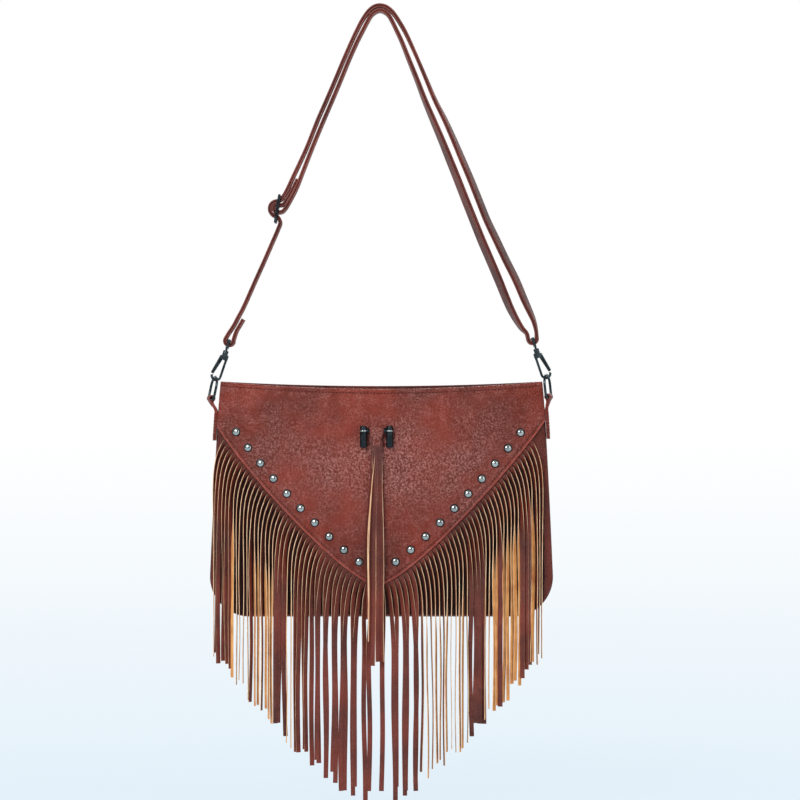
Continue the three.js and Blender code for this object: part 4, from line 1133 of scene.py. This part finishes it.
def make_fringe(side):
    seam = SEAMS[side]
    piece = Piece()
    end = seam.length - FRINGE_BARE_END[side]

    def band_face(offset):
        rows = []
        for inward in (FRINGE_BAND_WIDTH, FRINGE_BAND_INSET):
            row = []
            for along in shares(60, 1, end):
                place = seam.beside(along, inward)
                place.y = -front_at(place.x, place.z) - offset
                row.append(place)
            rows.append(row)
        return rows

    piece.add(sheet(band_face(BAND_TOP), band_face(FRINGE_SEAT)))
    along = FRINGE_PITCH / 2 + 1
    index = 0
    while along < end:
        fringe_strip(piece, side, index, along, FRINGE_LENGTH + FRINGE_LENGTH_VARIATION * variation(index))
        along += FRINGE_PITCH
        index += 1
    piece.make(f"fringe_strips_{side}", "bag", "fringe_leather", [FACE, BACK, RAW], [f"fringe_{side}"],
               sharp=50)


# Studs

def make_studs():
    base = STUD_HEIGHT * 0.2
    radius = STUD_RADIUS * 0.84
    flange = [(0, 0), (STUD_RADIUS * 0.98, 0), (STUD_RADIUS, 0.15), (STUD_RADIUS * 0.98, base * 0.8),
              (radius, base * 1.1), (0, base * 1.1)]
    turns = [math.radians(angle) for angle in shares(12, 0, 90)]
    dome = [(0, base)] + [(radius * math.cos(a), base + (STUD_HEIGHT - base) * math.sin(a)) for a in turns]
    pitch = (STUD_LAST - STUD_FIRST) / (STUD_COUNT - 1)
    piece = Piece()
    nodes = []
    for side in SIDES:
        for i in range(STUD_COUNT):
            place = SEAMS[side].beside(STUD_FIRST + i * pitch, STUD_INSET)
            normal = face_normal(yoke_face, place.x, place.z, STUD_RADIUS)
            turn = Vector((0, 0, 1)).rotation_difference(normal).to_matrix().to_4x4()
            seat = Matrix.Translation(yoke_face(place.x, place.z) + normal * 0.05) @ turn
            piece.add(lathe(dome, 32), 0, seat)
            # The flange takes the dark rim finish, painted shade round each stud
            piece.add(lathe(flange, 32), 1, seat)
            nodes.append(f"stud_{side}_{i + 1}")
    piece.make("dome_studs", "bag", "gunmetal", [STUD_METAL, STUD_RIM_SHADE], nodes, sharp=40)


# Tassel

TASSEL_FOOT = yoke_face(TASSEL_X, TASSEL_Z + TASSEL_BAR_RISE - TASSEL_BAR_LENGTH)
TASSEL_Y = TASSEL_FOOT.y - CLEARANCE - TASSEL_BAR_RADIUS

# Where each strip ends, beside and below the cross bar, how far it is turned, and where it starts
TASSEL_STRIPS = [
    (-9.5, 187, 65, -3.51), (-6.4, 209, -50, -1.89), (-3.2, 233, 20, -0.27), (1.6, 229, -15, 1.62),
    (5.4, 229, 35, 3.51),
]

# The saddle over the cross bar: height, half width, and depth as a share of the room before the bar's rim
TASSEL_LEVELS = [
    (4.3, 6.2, 0.2), (4.0, 6.8, 0.5), (3.2, 7.1, 0.78), (1.8, TASSEL_SADDLE, 1), (-0.6, TASSEL_SADDLE, 1),
    (-2.6, TASSEL_SADDLE * 0.97, 0.96), (-4.6, 6.2, 0.86), (-6.6, 5.2, 0.8), (-8.6, 4.6, 0.76),
    (-10.6, 4.6, 0.74), (-13, TASSEL_NECK, 0.7), (-15, TASSEL_NECK * 0.8, 0.5),
]
PLEAT_PITCH = 2.1


def rounded_bar(radius, length, bevel):
    """A turned bar along Z, from 0 to its length, with rounded ends."""
    turn = [math.radians(a) for a in shares(4, 0, 90)]
    foot = [(radius - bevel + bevel * math.sin(a), bevel - bevel * math.cos(a)) for a in turn]
    head = [(r, length - h) for r, h in reversed(foot)]
    return lathe([(0, 0)] + foot + head + [(0, length)], 28)


def along_x(x):
    return Matrix.Translation((x, 0, 0)) @ Matrix.Rotation(math.pi / 2, 4, "Y")


def make_tassel_frame():
    piece = Piece()
    centre = Matrix.Translation((TASSEL_X, TASSEL_Y, TASSEL_Z))
    half = TASSEL_BAR_SPACING / 2
    inner_edge = half - TASSEL_BAR_RADIUS + CLEARANCE
    cross = rounded_bar(TASSEL_CROSS_RADIUS, TASSEL_BAR_SPACING, 0.3)
    bar = rounded_bar(TASSEL_BAR_RADIUS, TASSEL_BAR_LENGTH, 1.3)
    collar = rounded_bar(TASSEL_COLLAR_RADIUS, TASSEL_COLLAR_LENGTH, 0.5)
    band = rounded_bar(TASSEL_BAR_RADIUS * 1.08, 1.9, 0.6)
    piece.add(cross, 0, centre @ along_x(-half))
    for sign, collar_start in ((-1, -inner_edge), (1, inner_edge - TASSEL_COLLAR_LENGTH)):
        piece.add(bar, 0, centre @ Matrix.Translation((sign * half, 0, TASSEL_BAR_RISE - TASSEL_BAR_LENGTH)))
        piece.add(collar, 0, centre @ along_x(collar_start))
        piece.add(band, 1, centre @ Matrix.Translation((sign * half, 0, -1)))
    piece.make("tassel_bars", "bag", "gunmetal", [GUNMETAL_DARK, STUD_METAL], ["tassel_frame"], sharp=50)


def tassel_ribbon(piece, x, drop, turn, start, index):
    steps = 60
    origin = TASSEL_Z - TASSEL_NECK_DROP + 5
    path, turns = [], []
    proud = 0.0
    for i in range(steps + 1):
        share = i / steps
        z = origin + (TASSEL_Z - drop - origin) * share
        fan = smooth(share * 1.6)
        place = TASSEL_X + start + (x - start) * fan + 0.5 * math.sin(share * 9 + index) * share
        settle = smooth(share * 3)
        lift = TASSEL_CLEARANCE * settle + (-TASSEL_Y - front_at(place, origin)) * (1 - settle)
        proud = max(proud, front_at(place, z) + lift)
        path.append(Vector((place, -proud, z)))
        turns.append(math.radians(turn * smooth(share * 4)))
    add_ribbon(piece, path, turns, TASSEL_STRIP_WIDTH, TASSEL_STRIP_THICKNESS)


def squared(value, power=0.55):
    """A sine or cosine drawn towards its ends, which squares off a ring."""
    return math.copysign(abs(value) ** power, value)


def make_tassel_leather():
    piece = Piece()
    room = TASSEL_BAR_RADIUS - CLEARANCE
    rings = []
    for z, half_width, depth_share in TASSEL_LEVELS:
        ring = []
        pleat = 0.5 * smooth((-z - 2) / 9)
        for cos, sin in circle(1, 48):
            a = half_width * squared(cos)
            crease = pleat * (0.5 + 0.5 * math.cos(a * 2 * math.pi / PLEAT_PITCH))
            b = (room * depth_share - crease) * squared(sin)
            ring.append(Vector((TASSEL_X + a, TASSEL_Y + b, TASSEL_Z + z)))
        rings.append(ring)
    piece.add(loft(rings), 3)
    for index, (x, drop, turn, start) in enumerate(TASSEL_STRIPS):
        tassel_ribbon(piece, x, drop, turn, start, index)
    piece.make("tassel_strips", "bag", "fringe_leather", [FACE, BACK, RAW, BODY], ["tassel_leather"],
               sharp=50)


# Zip

def zip_wall_at(u):
    """The zip's place across the bag, and the half depth that the lining leaves it there."""
    room = half_depth_at(u, share_down(u, ZIP_Z)) - CLEARANCE - LINING_THICKNESS - 0.5
    return BAG_CENTRE_X + u * half_width_at(ZIP_Z), room


def zip_inner(depth):
    return max(ZIP_HALF_GAP, depth - ZIP_TAPE_WIDTH)


def make_zip():
    places = [zip_wall_at(u) for u in shares(160, -ZIP_REACH, ZIP_REACH)]
    for name, side, shift in (("front", -1, 0), ("back", 1, TOOTH_PITCH / 2)):

        def face(height):
            rows = []
            for x, depth in places:
                inner = zip_inner(depth)
                ys = (depth, (depth + inner) / 2, inner + 0.5)
                rows.append([Vector((x, side * y, ZIP_Z + height)) for y in ys])
            return rows

        piece = Piece()
        piece.add(sheet(face(ZIP_TAPE_THICKNESS / 2), face(-ZIP_TAPE_THICKNESS / 2)), 0)
        x = places[0][0] + 1.2 + shift
        while x < places[-1][0] - 1.2:
            inner = zip_inner(zip_wall_at(share_across(x, ZIP_Z))[1])
            piece.add(block((1.1, 1.3, ZIP_TEETH_HEIGHT), (x, side * (inner + 0.7), ZIP_Z)), 1)
            x += TOOTH_PITCH
        piece.make(f"zip_chain_{name}", "bag", "zip_tape", [TAPE, GUNMETAL_DARK], [f"zip_tape_{name}"])


ZIP_PLATE_Z = ZIP_TEETH_HEIGHT / 2 + CLEARANCE
ZIP_HUB = ZIP_PIVOT + CLEARANCE + 0.9
ZIP_PIVOT_Z = ZIP_PLATE_Z + ZIP_PLATE + ZIP_HUB + CLEARANCE


def make_zip_slider():
    length, width = ZIP_SLIDER_LENGTH / 2, ZIP_SLIDER_WIDTH / 2
    outline = mirrored([(-length, -width * 0.6), (length * 0.5, -width), (length, -width * 0.7)])
    centre = Matrix.Translation((ZIP_SLIDER_X, 0, ZIP_Z))
    piece = Piece()
    for base in (ZIP_PLATE_Z, -ZIP_PLATE_Z - ZIP_PLATE):
        rings = [[Vector((x, y, base + rise)) for x, y in outline] for rise in (0, ZIP_PLATE)]
        piece.add(loft(rings), 0, centre)
    piece.add(block((3, 1.6, 2 * ZIP_PLATE_Z + 1), (length - 1.5, 0, 0)), 0, centre)
    foot = ZIP_PLATE_Z + ZIP_PLATE
    head = foot + ZIP_HUB + CLEARANCE + ZIP_PIVOT + 0.6
    half_cheek = [(2, foot - 0.4), (1.6, head - 0.6), (0.8, head)]
    cheek = [(-2, foot - 0.4)] + half_cheek + [(-x, z) for x, z in half_cheek[:0:-1]]
    for y in (-1.7, 1.7):
        piece.add(plate(cheek, 0.8, y), 0, centre)
    pin = Matrix.Translation((0, -1.8, ZIP_PIVOT_Z)) @ Matrix.Rotation(-math.pi / 2, 4, "X")
    piece.add(rounded_bar(ZIP_PIVOT, 3.6, 0.15), 0, centre @ pin)
    piece.make("zip_slider_body", "zip_slider", "gunmetal", [GUNMETAL_DARK], ["zip_slider"], bevel=0.2)


def ring_plate(outline_outer, outline_inner, thickness):
    """A plate across Y between two outlines with the same number of points."""
    rings = []
    for outline, y in ((outline_outer, -1), (outline_outer, 1), (outline_inner, 1), (outline_inner, -1)):
        rings.append([Vector((x, y * thickness / 2, z)) for x, z in outline])
    return loft(rings, looped=True)


def make_zip_puller():
    centre = Matrix.Translation((ZIP_SLIDER_X, 0, ZIP_Z + ZIP_PIVOT_Z))
    piece = Piece()
    piece.add(ring_plate(circle(ZIP_HUB, 24), circle(ZIP_PIVOT + CLEARANCE, 24), 2), 0, centre)
    half = ZIP_PULLER_THICKNESS / 2
    stem = mirrored([(ZIP_HUB * 0.86, -half * 1.2), (ZIP_PULLER_LENGTH * 0.5, -half)])
    piece.add(plate(stem, 2), 0, centre)
    grip_length = ZIP_PULLER_LENGTH - 8
    grip = soft_rectangle(grip_length, ZIP_PULLER_WIDTH, 2)
    middle = ZIP_PULLER_LENGTH - grip_length / 2 + 0.5
    rings = [[Vector((middle + a, b, s * half)) for a, b in grip] for s in (-1, 1)]
    piece.add(loft(rings), 0, centre)
    piece.make("zip_puller_tab", "zip_puller", "gunmetal", [GUNMETAL_DARK], ["zip_puller"], bevel=0.25)


# Strap: each point is (x, z, turn of the face in degrees)

def level(*points):
    return [(x, z, 0) for x, z in points]


def round_bar(place, start, end, radius, count):
    return level(*arc_outline(*place, radius, start, end, count))


def strap_route():
    half = STRAP_THICKNESS / 2
    eye_loop = EYE_BAR + CLEARANCE + half + 0.4
    inner_loop = SLIDER_BAR + CLEARANCE + half
    outer_loop = inner_loop + STRAP_THICKNESS + CLEARANCE
    up_to_slider = level((-136.4, -306.4), (-140, -312.6), (-143.2, -318.2))
    up_to_slider += round_bar(EYE["left"], 8, -188, eye_loop, 6)
    up_to_slider += level(
        (-151.9, -321.8), (-148.4, -316.6), (-145.2, -311.4), (-142.2, -305.6), (-137, -296), (-124, -267),
        (-115, -247), (-107.4, -229.5), (-101.6, -216), (-99.6, -209.6))
    up_to_slider += round_bar((SLIDER_X, SLIDER_Z), -92, -268, outer_loop, 8)
    over_top = level(
        (-98.4, -186.4), (-95.8, -182.6), (-92.4, -176.6), (-88, -167), (-74, -137), (-62, -107),
        (-53.2, -87), (-44.6, -67), (-36, -46.5), (-27.4, -27), (-22.4, -16.6), (-17.7, -7.6),
        (-11.5, 1.2), (-6, 5.7), (0, 7.1), (6, 5.7), (12, 1.2), (18, -7), (24, -17))
    down_outside = [
        (29, -27, 1), (38, -47, 3), (46.5, -67, 5), (55, -87, 8), (65, -107, 12), (74, -127, 15),
        (82.5, -147, 18), (91, -167, 19), (99, -187, 20), (107, -207, 21), (116.5, -227, 22), (126, -247, 22),
        (136, -267, 22), (144.5, -287, 20), (149.5, -298, 16), (153.4, -307, 10), (156, -317, 4),
    ]
    up_inside = round_bar(EYE["right"], 14, -160, eye_loop, 6) + [
        (146.6, -320.6, 0), (142, -315.6, 6), (136.6, -307.4, 12), (131, -297, 17), (126.6, -287, 20),
        (118.5, -267, 22), (110, -247, 22), (101.4, -227, 22), (93.4, -207, 21), (85.4, -187, 20),
        (77.6, -167, 19), (69.6, -147, 18), (61.5, -127, 15), (53, -107, 12), (44.6, -87, 8), (37, -67, 5),
        (29, -47, 3), (21, -27, 1),
    ]
    under_top = level(
        (15.6, -15.6), (11.6, -7.4), (7.4, -1), (0, APEX_RISE), (-7.6, -1.4), (-12.4, -8.8), (-17, -17.6),
        (-21.8, -27), (-30, -45), (-39, -67), (-47.4, -87), (-56, -107), (-66, -131), (-77, -159),
        (-81.4, -170.6), (-84.4, -177.6), (-88, -184.6), (-91.2, -190.4), (-94.6, -196), (-97.8, -199))
    into_slider = round_bar((SLIDER_X, SLIDER_Z), -88, -272, inner_loop, 8)
    end = level((-96.6, -191.8), (-93.6, -188), (-90.4, -182.6), (-86.9, -176), (-82.2, -166.4))
    return up_to_slider + over_top + down_outside + up_inside + under_top + into_slider + end


def strap_section():
    """Two layers of leather back to back, with rounded lips and a groove between them on both edges."""
    half_a, half_b = STRAP_THICKNESS / 2, STRAP_WIDTH / 2
    lip = [(half_a * share, half_b - drop) for share, drop in STRAP_LIP]
    edge = lip + [(-a, b) for a, b in reversed(lip[:-1])]
    face = [(-half_a, half_b * share) for share in (0.5, 0, -0.5)]
    half = edge + face
    return half + [(-a, -b) for a, b in half]


def make_strap():
    route = strap_route()
    per_span = 5
    knots = upright([point[:2] for point in route])
    samples = spline(knots, (len(route) - 1) * per_span)
    section = strap_section()

    def turn_at(place):
        i = min(int(place), len(route) - 2)
        share = place - i
        return math.radians(route[i][2] * (1 - share) + route[i + 1][2] * share)

    path = [point for point, _ in samples]
    turns = [turn_at(place) for _, place in samples]
    half_slots = [1] * 4 + [2] * 4 + [1] * 4 + [0] * 4
    slots = 2 * half_slots * (len(path) - 1) + [0, 0]
    piece = Piece().add(sweep(path, lambda i: turned(section, turns[i])), slots)
    piece.make("strap_leather", "strap", "body_leather", [STRAP_SKIN, STRAP_EDGE, GROOVE], ["strap"],
               sharp=70)


def along_y(x, z, length):
    return Matrix.Translation((x, -length / 2, z)) @ Matrix.Rotation(-math.pi / 2, 4, "X")


def make_strap_slider():
    piece = Piece()
    place = Matrix.Translation((SLIDER_X, 0, SLIDER_Z)) @ Matrix.Rotation(SLIDER_TILT, 4, "Y")
    length = STRAP_WIDTH + 2 * CLEARANCE + 2 * SLIDER_RAIL
    for z in (-SLIDER_SPACING, 0, SLIDER_SPACING):
        piece.add(rounded_bar(SLIDER_BAR, length - 0.4, 0.3), 0, place @ along_y(0, z, length - 0.4))
    rail_y = STRAP_WIDTH / 2 + CLEARANCE + SLIDER_RAIL / 2
    height = 2 * SLIDER_SPACING + 2 * SLIDER_BAR + 0.6
    outline = [(b, a) for a, b in soft_rectangle(height, 2 * SLIDER_BAR + 0.3, 1.1)]
    for y in (-rail_y, rail_y):
        piece.add(plate(outline, SLIDER_RAIL, y), 0, place)
    piece.make("strap_buckle", "strap", "gunmetal", [GUNMETAL_DARK], ["strap_slider"], bevel=0.3)


# Snap hooks

def hook_place(side):
    sign = SIDES[side]
    x, z = EYE[side]
    half_turn = math.pi if side == "left" else 0
    return (Matrix.Translation((x, 0, z)) @ Matrix.Rotation(-sign * HOOK_TILT, 4, "Y")
            @ Matrix.Rotation(half_turn, 4, "Z"))


def make_hook_eye(side):
    place = hook_place(side)
    half = STRAP_WIDTH / 2 + CLEARANCE + EYE_FRAME + 0.4
    piece = Piece()
    piece.add(rounded_bar(EYE_BAR, 2 * half, 0.3), 0, place @ along_y(0, 0, 2 * half))
    bend = 1.4
    wire = [Vector((0, -half, 0)), Vector((0, -half, -EYE_DROP + bend))]
    for angle in (20, 45, 70, 90):
        a = math.radians(angle)
        wire.append(Vector((0, -half + bend - bend * math.cos(a), -EYE_DROP + bend - bend * math.sin(a))))
    wire += [Vector((p.x, -p.y, p.z)) for p in reversed(wire)]
    piece.add(sweep(wire, lambda i: circle(EYE_FRAME, 16), wide=Vector((1, 0, 0))), 0, place)
    for y in (-half, half):
        knob = rounded_bar(EYE_FRAME * 1.25, 2.6, 0.6)
        piece.add(knob, 0, place @ Matrix.Translation((0, y, -1.3)))
    head = BARREL_TOP + SHOULDER
    pin = [(0, -head - 1.2), (PIN_HEAD, -head - 1.2), (PIN_HEAD, -head), (PIN_RADIUS, -head),
           (PIN_RADIUS, -EYE_DROP), (0, -EYE_DROP)]
    piece.add(lathe(pin, 20), 0, place)
    piece.make(f"swivel_eye_{side}", "strap", "gunmetal", [GUNMETAL], [f"hook_eye_{side}"], sharp=45)


def barrel():
    """The hook's turned barrel, with the pocket that holds the eye's pin by its head."""
    top, bottom = -BARREL_TOP, -BARREL_BOTTOM
    pocket_roof = top - SHOULDER + CLEARANCE
    pocket_floor = top - SHOULDER - 1.2 - CLEARANCE
    outside = [(0.8, bottom), (0.95, bottom + 0.4), (1, bottom + 1), (0.93, bottom + 2.2),
               (1, top - 1.2), (0.95, top - 0.4), (0.8, top)]
    profile = [(0, bottom)] + [(BARREL_RADIUS * share, z) for share, z in outside]
    neck, pocket = PIN_RADIUS + CLEARANCE, PIN_HEAD + CLEARANCE
    profile += [(neck, top), (neck, pocket_roof)]
    profile += [(pocket, pocket_roof), (pocket, pocket_floor), (0, pocket_floor)]
    return lathe(profile, 28)


def hook_wire():
    radius = (TIP_X - LIMB_X) / 2
    bend_z = -HOOK_BOTTOM + radius
    path = [(LIMB_X + 0.6, -BARREL_BOTTOM - 1), (LIMB_X, -BARREL_BOTTOM - 6)]
    path += [(LIMB_X, z) for z in shares(4, -BARREL_BOTTOM - 9, bend_z + 3)]
    path += arc_outline(LIMB_X + radius, bend_z, radius, 180, 360, 20)
    path += [(TIP_X, -TIP_TOP)]
    return sweep(upright(path), lambda i: circle(LIMB_RADIUS, 18))


def hook_turned(side):
    return hook_place(side) @ Matrix.Rotation(-SIDES[side] * HOOK_YAW, 4, "Z")


def make_hook_body(side):
    place = hook_turned(side)
    piece = Piece()
    piece.add(barrel(), 0, place)
    piece.add(hook_wire(), 0, place)
    outline = [(LIMB_X - 1, -BARREL_BOTTOM - 5.5), (LIMB_X - 1.2, -BARREL_BOTTOM - 2.5),
               (LIMB_X - 1, -BARREL_BOTTOM + 0.4), (PIVOT_X, -BARREL_BOTTOM + 0.6)]
    outline += arc_outline(PIVOT_X, -PIVOT_DROP, HUB_RADIUS, 80, -90)
    cheek_y = GATE_THICKNESS / 2 + CLEARANCE + CHEEK / 2
    for y in (-cheek_y, cheek_y):
        piece.add(plate(outline, CHEEK, y), 0, place)
    piece.add(block((2, 2 * cheek_y, 5.6), (LIMB_X, 0, -BARREL_BOTTOM - 2.6)), 0, place)
    piece.add(block((4.6, 2 * cheek_y, 1), (-0.9, 0, -BARREL_BOTTOM + 0.1)), 0, place)
    length = 2 * cheek_y + CHEEK + 0.3
    piece.add(rounded_bar(PIVOT_RADIUS, length, 0.2), 0, place @ along_y(PIVOT_X, -PIVOT_DROP, length))
    piece.make(f"snap_hook_{side}", f"hook_{side}", "gunmetal", [GUNMETAL], [f"hook_body_{side}"],
               bevel=0.22, sharp=40)


def make_hook_gate(side):
    heading = math.degrees(math.atan2(PIVOT_DROP - NOSE_DROP, NOSE_X - PIVOT_X))
    hub_turn = (heading + 90, heading + 270, 20)
    hole_radius = PIVOT_RADIUS + CLEARANCE
    outer = arc_outline(PIVOT_X, -PIVOT_DROP, HUB_RADIUS, *hub_turn)
    outer += arc_outline(NOSE_X, -NOSE_DROP + NOSE_RADIUS, NOSE_RADIUS, heading - 90, heading + 90, 12)
    hole = arc_outline(PIVOT_X, -PIVOT_DROP, hole_radius, *hub_turn)
    hole += arc_outline(PIVOT_X, -PIVOT_DROP, hole_radius, heading - 88, heading + 88, 12)
    piece = Piece().add(ring_plate(outer, hole, GATE_THICKNESS), 0, hook_turned(side))
    piece.make(f"snap_gate_{side}", f"gate_{side}", "gunmetal", [GUNMETAL_DARK], [f"hook_gate_{side}"],
               bevel=0.35)


# D-rings and tabs

def ring_bar(side):
    sign = SIDES[side]
    ring_top = HOOK_BOTTOM - LIMB_RADIUS - RING_SEAT_GAP - RING_WIRE
    top = hook_place(side) @ Vector(((LIMB_X + TIP_X) / 2, 0, -ring_top))
    lean = sign * RING_LEAN[side]
    return top + Vector((math.sin(lean), 0, -math.cos(lean))) * RING_HEIGHT


def make_ring(side):
    sign = SIDES[side]
    place = (Matrix.Translation(ring_bar(side)) @ Matrix.Rotation(-sign * RING_LEAN[side], 4, "Y")
             @ Matrix.Rotation(math.pi / 2 - sign * RING_YAW, 4, "Z"))
    w = RING_HALF_WIDTH
    arch = w * 1.1
    shoulder = [(w * 0.93, w * 0.06), (w, w * 0.25)]
    path = [(x, 0) for x in shares(8, -w * 0.8, w * 0.8)] + shoulder
    path += [(w * math.cos(a), RING_HEIGHT - arch + arch * math.sin(a)) for a in shares(28, 0, math.pi)]
    path += [(-x, z) for x, z in reversed(shoulder)]
    piece = Piece().add(sweep(upright(path), lambda i: circle(RING_WIRE, 18), looped=True), 0, place)
    piece.make(f"dee_ring_{side}", f"ring_{side}", "gunmetal", [GUNMETAL], [f"d_ring_{side}"], sharp=60)


def tab_seam_x(side, bar, drop):
    """Where the tab's inner layer lies against the bag's side, a drop below the ring's bar."""
    return BAG_CENTRE_X + SIDES[side] * (half_width_at(bar.z - drop) + CLEARANCE + TAB_THICKNESS / 2)


def tab_path(side, bar, layer):
    """Up the inner layer, round the ring's bar, and down the outer layer."""
    sign = SIDES[side]
    inner = [(tab_seam_x(side, bar, drop), bar.z - drop) for drop in shares(4, TAB_LENGTH, TAB_NECK_DROP)]
    neck_middle = tab_seam_x(side, bar, TAB_NECK_DROP) + sign * layer / 2
    for drop in (10, 7, 4.2):
        share = smooth((drop - 3) / (TAB_NECK_DROP - 3))
        inner.append((bar.x + (neck_middle - bar.x) * share - sign * layer / 2, bar.z - drop))
    outer = [(x + sign * layer, z) for x, z in reversed(inner)]
    loop = arc_outline(bar.x, bar.z, TAB_LOOP - 0.3, -50, 230, 16)
    knots = upright(inner + (loop[::-1] if sign > 0 else loop) + outer)
    return [point for point, _ in spline(knots, (len(knots) - 1) * 3)]


def make_tab(side):
    sign = SIDES[side]
    bar = ring_bar(side)
    layer = TAB_THICKNESS + CLEARANCE * 0.4
    section = soft_rectangle(TAB_THICKNESS, TAB_WIDTH, 0.55, 3)
    points, faces = sweep(tab_path(side, bar, layer), lambda i: section)

    def twist(point):
        angle = -sign * RING_YAW * smooth((point.z - bar.z + TAB_NECK_DROP) / TAB_NECK_DROP)
        return bar + Matrix.Rotation(angle, 3, "Z") @ (point - bar)

    def stitch_place(drop, y):
        face_x = tab_seam_x(side, bar, drop) + sign * (layer + TAB_THICKNESS / 2 - 0.1)
        return Matrix.Translation((face_x, y, bar.z - drop))

    piece = Piece().add(([twist(point) for point in points], faces))
    end = [(0.12, -1.1), (0.3, -0.9)]
    thread = lathe(end + [(0.34, 0)] + [(r, -h) for r, h in reversed(end)], 6)
    for drop in (TAB_NECK_DROP + 1.5, TAB_LENGTH - 4):
        for y in shares(3, -3, 3):
            piece.add(thread, 1, stitch_place(drop, y) @ Matrix.Rotation(math.pi / 2, 4, "X"))
    for y in (-3.2, 3.2):
        for drop in shares(6, TAB_NECK_DROP + 3.5, TAB_LENGTH - 6):
            piece.add(thread, 1, stitch_place(drop, y))
    piece.make(f"ring_tab_{side}", "bag", "body_leather", [BODY, THREAD], [f"side_tab_{side}"], sharp=60)


# Floor and light

FLOOR_Z = -0.81
FLOOR_REACH = 60
FLOOR_BLUE = (226, 240, 250)
LAMP_AIM = Vector((0, 0, -0.45))
DIM_DIRECTION = Vector((0.2, -0.97, -0.12)).normalized()


def to_viewer(rays, graph, also):
    """1 for a camera or transmission ray, and for another ray what also gives."""
    direct = graph.math("MAXIMUM", rays["Is Camera Ray"], rays["Is Transmission Ray"])
    return graph.math("MAXIMUM", direct, also)


def floor_material():
    """Pale blue under the bag and white far off, as a glow to the viewer and as paint to the light."""
    graph = material_graph("floor_paint")
    position = graph.node("ShaderNodeNewGeometry").outputs["Position"]
    distance = graph.vector("LENGTH", graph.vector("MULTIPLY", position, (1, 1, 0))["Vector"])["Value"]
    nearness = graph.math("DIVIDE", VIEW_DISTANCE, graph.math("ADD", distance, VIEW_DISTANCE))
    whiteness = graph.remap(nearness, 0.095, 0.945, 1, 0)
    seen = graph.mix(whiteness, colour(FLOOR_BLUE), colour((255, 255, 255)))
    glow = graph.node("ShaderNodeEmission", {"Color": seen, "Strength": 1.0})
    paint = graph.node("ShaderNodeBsdfDiffuse", {"Color": colour((224, 232, 238))})
    rays = graph.node("ShaderNodeLightPath").outputs
    shown = to_viewer(rays, graph, rays["Is Glossy Ray"])
    graph.mixed_output(graph.math("MULTIPLY", shown, graph.remap(whiteness, 0, 0.6, 0.93, 1)), paint, glow)
    return graph.owner


def make_floor():
    """A wide round floor, so that the bag can be seen from every side."""
    rim = [(x, y, FLOOR_Z) for x, y in circle(FLOOR_REACH, 72)]
    mesh = bpy.data.meshes.new("floor")
    mesh.from_pydata(rim, [], [tuple(range(len(rim)))])
    mesh.materials.append(floor_material())
    floor = bpy.data.objects.new("floor", mesh)
    bpy.context.scene.collection.objects.link(floor)


def make_world():
    """White to the camera and, behind the bag, in reflections; soft light from above, dim in front."""
    world = bpy.data.worlds.new("studio")
    bpy.context.scene.world = world
    graph = Graph(world)
    direction = graph.node("ShaderNodeTexCoord").outputs["Generated"]
    split = graph.node("ShaderNodeSeparateXYZ", {0: direction}).outputs
    facing = graph.vector("DOT_PRODUCT", direction, DIM_DIRECTION)["Value"]
    strength = graph.math("MULTIPLY", graph.remap(split["Z"], -0.6, 0.9, 0.1, 0.45),
                          graph.remap(facing, 0.9, 0.965, 1, 0.03))
    light = graph.node("ShaderNodeBackground", {"Color": (0.97, 0.985, 1, 1), "Strength": strength})
    seen = graph.node("ShaderNodeBackground", {"Color": (1, 1, 1, 1), "Strength": 1})
    rays = graph.node("ShaderNodeLightPath").outputs
    behind = graph.math("MULTIPLY", rays["Is Glossy Ray"], graph.remap(split["Y"], 0.1, 0.5))
    graph.mixed_output(to_viewer(rays, graph, behind), light, seen, "ShaderNodeOutputWorld")


def make_lamp(name, place, size, watts, tint=(1, 1, 1)):
    """A soft lamp that faces the middle of the bag."""
    data = bpy.data.lights.new(name, "AREA")
    data.shape = "RECTANGLE"
    data.size, data.size_y = size
    data.energy = watts
    data.color = tint
    lamp = bpy.data.objects.new(name, data)
    bpy.context.scene.collection.objects.link(lamp)
    lamp.location = place
    lamp.rotation_euler = (LAMP_AIM - Vector(place)).to_track_quat("-Z", "Y").to_euler()


make_panel(-1, "front_shell", "front_panel")
make_panel(1, "back_shell", "back_panel")
make_yoke()
make_lining()
make_seam_stitches()
make_mouth_stitches()
make_studs()
make_tassel_frame()
make_tassel_leather()
make_zip()
make_zip_slider()
make_zip_puller()
make_strap()
make_strap_slider()
for side_name in SIDES:
    make_fringe(side_name)
    make_hook_eye(side_name)
    make_hook_body(side_name)
    make_hook_gate(side_name)
    make_ring(side_name)
    make_tab(side_name)

make_floor()
make_world()
make_lamp("key", (-0.9, -2.0, 0.6), (0.9, 0.9), 40)
make_lamp("fill", (1.7, -1.6, 0.2), (1.0, 1.0), 8, (0.97, 0.985, 1))
make_lamp("rim", (0.2, 0.7, 0.9), (1.2, 0.6), 6)
make_lamp("back", (0.5, 2.2, 1.3), (0.9, 0.9), 30)

bpy.context.scene.view_settings.view_transform = "Standard"
